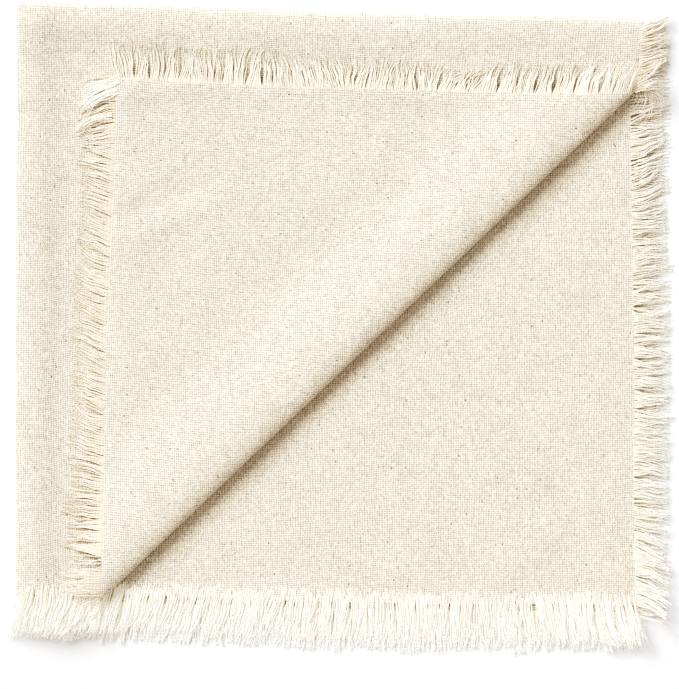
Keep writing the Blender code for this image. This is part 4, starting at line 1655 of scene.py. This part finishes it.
def stretches(quarters: QuarterFold) -> list[Stretch]:
    """List the stretches, from the folded-back corner down to the base.

    Args:
        quarters: The quarter folds, between whose bends the fringe lies.

    Returns:
        The stretches.
    """
    clear = quarters.end_clearance
    wide, tall = quarters.half_width, quarters.half_height
    left_of_fold = quarters.first_bend[0] - clear
    right_of_fold = quarters.first_bend[1] + clear
    above_fold = quarters.second_bend[1] + clear
    below_fold = quarters.second_bend[0] - clear
    # Each stretch and lock gives its threads' painted light, and the painted shade of its bed
    # strands
    return [
        Stretch(
            "fringe_flap_top", Side.RIGHT, -tall, -34.0 * MM, Lies.ACROSS, 13.6 * MM, None, 1.5,
            combs(
                (35, -6.5, 1.1, 0.1), (39, -5.0, 1.1, 0.1), (43, -2.0, 1.05, 0.2),
                (48, 0.0, 1.05, 0.3), (60, 0.5, 1.05, 0.2), (80, 0.8, 1.1, 0.3),
                (92, 1.8, 1.1, 0.3), (106, -1.5, 1.0, 0.3, -1.5), (129, -3.0, 0.95, 0.4, -2.0),
                (133, 3.5, 1.0, 0.5), (145, 1.0, 0.9, 0.4), (163, 0.5, 0.85, 0.4),
                (168, 3.5, 0.75, 0.4, 3.0), (182, 4.0, 0.75, 0.5, 2.0), (192, 2.5, 0.95, 0.65),
                (220, 4.5, 0.95, 0.7), (248, 4.0, 1.0, 0.5),
            ),
            partings=(131.5, 163.5, 190.0, 197.0, 205.0, 213.0, 221.0, 229.0, 237.0),
            locks=(
                Lock(((39.5, -28.5, 7.4), (33.6, -30.4, 7.6), (28.8, -32.0, 7.3),
                      (24.4, -35.2, 6.8)), 14, 1.4, 1.2, 0.85, 0.9),
            ),
            hump=0.5, tufts=(3, 14), painted_light=(0.25, 0.25), bed_painted_shade=0.8, seed=11,
        ),
        Stretch(
            "fringe_flap_left", Side.FAR, 35.5 * MM, wide, Lies.DOWN, 13.6 * MM, None, 1.4,
            combs(
                (28, 3.0, 1.0, 0.9), (36, 6.0, 1.1, 0.9), (46, 5.0, 1.1, 0.7, 2.0),
                (58, -1.0, 1.0, 0.5, -3.0), (70, -4.0, 1.0, 0.45), (110, -5.0, 1.05, 0.45),
                (150, -5.5, 1.05, 0.45), (185, -3.0, 1.05), (197, 0.0, 1.05, 0.6),
                (213, 0.0, 1.1, 0.9), (218.5, -2.0, 1.15, 0.9), (221, 0.0, 1.0, 0.9, 0, 0.1, 0.3),
                (224, 3.0, 1.0, 0.9, 0, 0.1, 0.5), (227, 1.0, 1.1, 0.8), (232, 1.0, 1.1, 0.8),
            ),
            partings=(44.0, 143.5, 185.5, 195.0, 209.0, 219.0, 226.0),
            locks=(
                Lock(((38.8, -32.5, 7.6), (33.6, -34.4, 8.2), (28.8, -37.0, 7.8),
                      (24.4, -41.0, 6.9)), 24, 2.0, 2.3, 0.85, 0.9),
                Lock(((36.8, -44.0, 7.2), (31.2, -44.2, 7.6), (25.8, -46.4, 7.2),
                      (22.4, -49.0, 6.7)), 10, 1.6, 1.2),
                Lock(((32.1, -234.4, 9.0), (27.2, -234.2, 9.0), (22.8, -235.4, 8.0),
                      (20.0, -236.8, 7.2)), 5, 0.9, 1.5, 0.6, 0.6),
                Lock(((32.0, -235.4, 8.8), (28.4, -236.4, 8.8), (24.8, -238.0, 8.0),
                      (21.0, -240.0, 7.0)), 5, 0.7, 1.8, 0.6, 0.8),
                Lock(((31.9, -236.2, 8.4), (28.4, -238.4, 8.4), (25.2, -241.8, 7.2)),
                     5, 0.6, 1.6, 0.6, 0.9),
                Lock(((31.6, -237.0, 7.8), (30.4, -241.2, 7.4), (27.6, -245.2, 6.2),
                      (25.2, -248.0, 5.4)), 7, 0.7, 2.0, 0.7, 0.9),
            ),
            hump=0.8, tufts=(4, 18), painted_light=(0.10, 0.10), bed_painted_shade=0.9, seed=12,
        ),
        Stretch(
            "fringe_top_sheet_bottom", Side.FAR, right_of_fold, 27.0 * MM, Lies.ACROSS, 16.0 * MM,
            1.2 * MM, 0.9,
            combs(
                (0, -7.0, 1.0, 0.6, 0, 8.0), (8, -4.0, 1.0, 0.4, 0, 8.5),
                (24, -4.0, 0.95, 0.4, 0, 8.0),
            ),
            locks=(
                Lock(((31.6, -237.0, 7.6), (31.0, -241.6, 6.8), (30.2, -246.8, 5.6),
                      (29.4, -252.0, 4.6)), 8, 0.8, 1.4, 0.75, 0.9),
                Lock(((29.2, -237.8, 5.8), (28.8, -242.0, 5.8), (27.2, -246.8, 5.2),
                      (26.4, -252.0, 4.4)), 10, 1.6, 2.0, 0.8, 0.9),
            ),
            root_depth=(0.5 * MM, 6.0 * MM), root_lift=0.34 * MM, painted_light=(0.5, 0.8), seed=13,
        ),
        Stretch(
            "fringe_top_sheet_right", Side.RIGHT, -28.0 * MM, -above_fold, Lies.DOWN, 12.4 * MM,
            1.4 * MM, 0.9,
            combs(
                (0, -6.0, 1.0, 0.7, 0, 1.8), (6, -5.0, 1.0, 0.8, 0, 1.8),
                (12, -4.5, 1.0, 0.9, 0, 1.8), (24, -3.5, 1.0, 0.9, 0, 1.5),
            ),
            partings=(6.0, 12.0, 16.5, 21.0),
            locks=(
                Lock(((245.2, -32.8, 8.2), (248.8, -30.8, 9.6), (252.4, -28.8, 10.0),
                      (256.4, -27.6, 8.8)), 9, 1.7, 2.4, 0.7, 0.35),
                Lock(((246.4, -32.0, 6.8), (250.0, -31.2, 8.2), (254.0, -30.6, 8.4),
                      (258.8, -31.6, 7.0)), 8, 1.3, 2.6, 0.65, 0.2),
                Lock(((246.8, -31.2, 6.0), (251.2, -32.2, 7.4), (256.0, -34.0, 6.8),
                      (260.4, -36.8, 5.2)), 6, 1.0, 2.6, 0.6, 0.2),
                Lock(((246.4, -33.0, 7.2), (246.8, -36.0, 6.2), (244.4, -39.6, 4.8)),
                     4, 1.2, 1.8, 0.55, 0.1),
                Lock(((248.8, -32.8, 7.4), (249.2, -37.2, 6.2), (246.8, -42.4, 4.8)),
                     4, 1.0, 1.6, 0.55, 0.1),
                Lock(((251.2, -33.0, 7.2), (252.0, -38.0, 6.0), (250.0, -43.2, 4.8),
                      (247.6, -46.4, 4.4)), 4, 1.0, 1.8, 0.55, 0.1),
                Lock(((253.2, -33.0, 7.0), (255.2, -37.2, 5.6), (254.4, -42.4, 4.4)),
                     3, 0.8, 1.6, 0.55, 0.1),
                Lock(((254.8, -32.8, 6.8), (258.0, -35.6, 5.4), (260.8, -40.0, 4.2)),
                     5, 1.2, 3.0, 0.5, 0.3),
            ),
            hump=1.4, tufts=(8, 20), painted_light=(0.2, 0.1), seed=14,
        ),
        Stretch(
            "fringe_second_bottom", Side.FAR, -wide, left_of_fold, Lies.ACROSS, 15.2 * MM,
            0.55 * MM, 0.9,
            combs(
                (0, -8.0, 0.95, 0.4, 0, 7.0), (10, -4.0, 1.0, 0.4, 0, 7.5),
                (32, -4.5, 1.0, 0.4, 0, 7.0), (48, -5.0, 1.0, 0.4, 0, 1.2),
                (90, -4.5, 1.0, 0.4, 0, 0.5), (130, -2.5, 1.0, 0.5, 0, 0.5),
                (145, 0.5, 1.0, 0.7, 0, 0.5), (180, 0.5, 1.0, 0.4, 0, 0.5),
                (195, 2.0, 1.0, 0.5, 0, 0.8), (215, 3.0, 1.05, 0.6, 0, 1.5),
                (226, 1.5, 0.95, 0.5, 0, 3.0, 1.0), (232, 2.0, 1.0, 0.6, 2.0, 4.5, 0.8),
                (247, 4.0, 1.1, 0.6, 0, 7.5, 0.7),
            ),
            partings=(142.0, 150.0, 205.0, 236.0),
            locks=(
                Lock(((232.0, -244.8, 5.4), (234.4, -249.6, 5.6), (238.4, -253.2, 5.8),
                      (242.0, -256.4, 5.2)), 6, 2.2, 1.6, 0.6, 0.95),
                Lock(((238.4, -240.4, 5.0), (240.0, -246.8, 5.8), (244.4, -251.6, 6.2),
                      (248.0, -249.2, 6.4), (246.8, -244.0, 6.2)), 4, 1.2, 0.9, 0.55, 0.9),
                Lock(((241.6, -241.2, 5.2), (244.0, -245.2, 5.8), (246.4, -248.0, 6.2),
                      (243.2, -250.4, 6.2), (240.0, -248.0, 6.0)), 2, 0.8, 0.5, 0.55, 0.9),
                Lock(((244.0, -240.4, 5.4), (246.8, -246.4, 5.8), (249.2, -252.0, 6.0),
                      (252.0, -257.6, 5.0)), 6, 1.6, 0.8, 0.6, 0.95),
                Lock(((248.0, -243.6, 5.0), (252.8, -244.8, 6.4), (257.6, -248.0, 6.4),
                      (262.0, -252.8, 5.2)), 2, 0.3, 0.5, 0.8, 0.9),
            ),
            root_depth=(0.5 * MM, 6.0 * MM), root_lift=0.34 * MM, density=1.25, painted_light=(1.0, 1.0),
            seed=15,
        ),
        Stretch(
            "fringe_second_right", Side.LEFT, above_fold, tall, Lies.DOWN, 13.4 * MM, 0.75 * MM,
            0.8,
            combs(
                (5, -3.0, 1.0, 0.7, 0, 1.5, 0.6), (28, -2.0, 1.0, 0.8, 0, 1.0, 0.6),
                (34, -1.0, 1.0, 0.8, 0, 0.6, 0.4), (48, -3.0, 1.0, 0.8, 0, 0.6, 0.6),
                (60, -5.0, 1.0, 0.8, 0, 0.8, 0.8), (72, -6.0, 1.0, 0.9, 0, 0.3, 0.8),
                (85, -1.5, 1.0, 0.8, 0, 0.3, 0.8), (135, -0.5, 1.0, 0.9, 0, 0.3, 0.8),
                (160, 0.8, 1.0, 0.9, 0, 0.3, 0.8), (200, 1.5, 1.0, 0.9, 0, 1.0, 0.8),
                (215, 4.0, 1.0, 0.7, 0, 2.4), (238, 6.0, 1.05, 0.5, 0, 7.0),
            ),
            hump=1.8, tufts=(7, 20), painted_light=(0.35, 0.7), seed=16,
        ),
        Stretch(
            "fringe_third_bottom", Side.NEAR, -left_of_fold, wide, Lies.ACROSS, 15.2 * MM,
            0.25 * MM, 0.9,
            combs(
                (0, -6.0, 1.0, 0.4, 0, 2.5), (10, -3.0, 1.0, 0.4, 0, 3.0),
                (48, -3.0, 1.0, 0.4, 0, 0.5), (225, 1.0, 1.0, 0.4, 0, 0.8),
                (245, 2.0, 1.0, 0.5, 0, 3.0),
            ),
            root_lift=0.3 * MM, painted_light=(1.0, 1.0), seed=17,
        ),
        Stretch(
            "fringe_third_right", Side.LEFT, -tall, below_fold, Lies.DOWN, 13.4 * MM, 0.35 * MM,
            1.1,
            combs(
                (0, -3.0, 1.0, 0.5, 0, 1.0), (60, -2.0, 1.0, 0.6), (200, 1.0, 1.0, 0.6),
                (245, 3.0, 1.0, 0.5, 0, 3.0),
            ),
            density=0.6, painted_light=(0.0, 0.5), seed=18,
        ),
        Stretch(
            "fringe_base_bottom", Side.NEAR, -wide, -right_of_fold, Lies.ACROSS, 15.2 * MM, 0.0,
            1.6,
            combs((0, -5.0), (10, -2.0), (245, 3.0)),
            density=0.9, painted_light=(0.9, 1.0), seed=19,
        ),
        Stretch(
            "fringe_base_right", Side.RIGHT, -below_fold, tall, Lies.DOWN, 13.4 * MM, 0.0, 1.4,
            combs((0, -3.0), (60, -1.0), (245, 3.0)),
            density=0.55, painted_light=(0.0, 0.5), seed=20,
        ),
    ]


@dataclass
class Fringe:
    """The frayed fringe, stretch by stretch."""

    stack: FoldedStack
    spinner: Spinner = field(default_factory=Spinner)

    def build(self) -> dict[str, bpy.types.Object]:
        """Comb and spin every stretch.

        Returns:
            The pieces, by the CAD node that each stands for.
        """
        comber = Comber(self.stack)
        pieces = {}
        for stretch in stretches(self.stack.quarters):
            paths = comber.comb(stretch)
            piece = self.spinner.spin(stretch.node.replace("fringe", "threads"), paths)
            faces = len(piece.data.polygons)
            log.info("%s: %d threads, %d faces", piece.name, len(paths.girth), faces)
            pieces[stretch.node] = piece
        return pieces


# --- Studio ---------------------------------------------------------------------------------------


@dataclass
class Studio:
    """A pale table, soft light from the upper left, and a camera straight above."""

    middle: tuple[float, float] = (-1.1 * MM, -6.8 * MM)
    field_height: float = 275.6 * MM
    camera_height: float = 2.0
    focus_height: float = 5.0 * MM
    sensor: float = 24.0
    table_size: float = 3.0
    key_heading: float = 135.0
    key_elevation: float = 45.0
    key_spread: float = 38.0
    key_light: float = 0.490
    key_colour: Colour = (1.0, 1.060, 1.116)
    sky_light: float = 0.394
    sky_colour: Colour = (1.0, 0.918, 0.838)
    # How bright light in the scene is drawn: shade falls off steeply and highlights are held back
    tones: tuple[tuple[float, float], ...] = (
        (0.0, 0.0),
        (0.08, 0.050),
        (0.16, 0.150),
        (0.26, 0.335),
        (0.38, 0.545),
        (0.50, 0.723),
        (0.61, 0.838),
        (0.70, 0.925),
        (0.78, 1.0),
        (1.0, 1.0),
    )
    # The number of the curve that all three colours share
    all_colours: int = 3
    finish: TableFinish = TableFinish()

    def build(self) -> None:
        """Set up the table, the light and the camera."""
        scene = bpy.context.scene
        self.set_tones(scene.view_settings)
        half = self.table_size / 2
        corners = np.array([(-half, -half, 0), (half, -half, 0), (half, half, 0), (-half, half, 0)])
        mesh = new_mesh("table_top", corners, [(0, 1, 2, 3)])
        mesh.materials.append(self.finish.material())
        show("table_top", mesh)

        world = bpy.data.worlds.new("soft_room")
        world.use_nodes = True
        sky = world.node_tree.nodes["Background"]
        sky.inputs["Color"].default_value = (*self.sky_colour, 1.0)
        sky.inputs["Strength"].default_value = self.sky_light
        scene.world = world

        lamp = bpy.data.lights.new("window_light", "SUN")
        lamp.angle = math.radians(self.key_spread)
        lamp.energy = self.key_light * math.pi / math.sin(math.radians(self.key_elevation))
        lamp.color = self.key_colour
        key = bpy.data.objects.new("window_light", lamp)
        heading, height = math.radians(self.key_heading), math.radians(self.key_elevation)
        level = Vector((math.cos(heading), math.sin(heading), 0.0)) * math.cos(height)
        towards = level + Vector((0.0, 0.0, math.sin(height)))
        key.rotation_euler = towards.to_track_quat("Z", "Y").to_euler()
        scene.collection.objects.link(key)

        view = bpy.data.cameras.new("overhead")
        view.sensor_fit = "VERTICAL"
        view.sensor_height = self.sensor
        view.lens = self.sensor * (self.camera_height - self.focus_height) / self.field_height
        camera = bpy.data.objects.new("overhead", view)
        camera.location = (*self.middle, self.camera_height)
        scene.collection.objects.link(camera)
        scene.camera = camera

    def set_tones(self, drawn: bpy.types.ColorManagedViewSettings) -> None:
        """Set how the light of the scene is drawn.

        Args:
            drawn: The scene's view settings.
        """
        drawn.view_transform = "Standard"
        drawn.use_curve_mapping = True
        mapping = drawn.curve_mapping
        curve = mapping.curves[self.all_colours]
        curve.points[0].location, curve.points[1].location = self.tones[0], self.tones[-1]
        for light, tone in self.tones[1:-1]:
            curve.points.new(light, tone)
        mapping.update()


def main() -> None:
    """Build the napkin and its studio, and tie every piece to the frame."""
    logging.basicConfig(level=logging.INFO, format="%(name)s: %(message)s")
    Studio().build()
    stack = FoldedStack()
    cloth = WovenCloth(stack).build()
    log.info("%s: %d faces", cloth.name, len(cloth.data.polygons))
    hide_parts("cloth")
    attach(cloth, BODY)
    threads = Fringe(stack).build()
    for node, piece in threads.items():
        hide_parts(node)
        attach(piece, BODY)


if __name__ == "__main__":
    main()
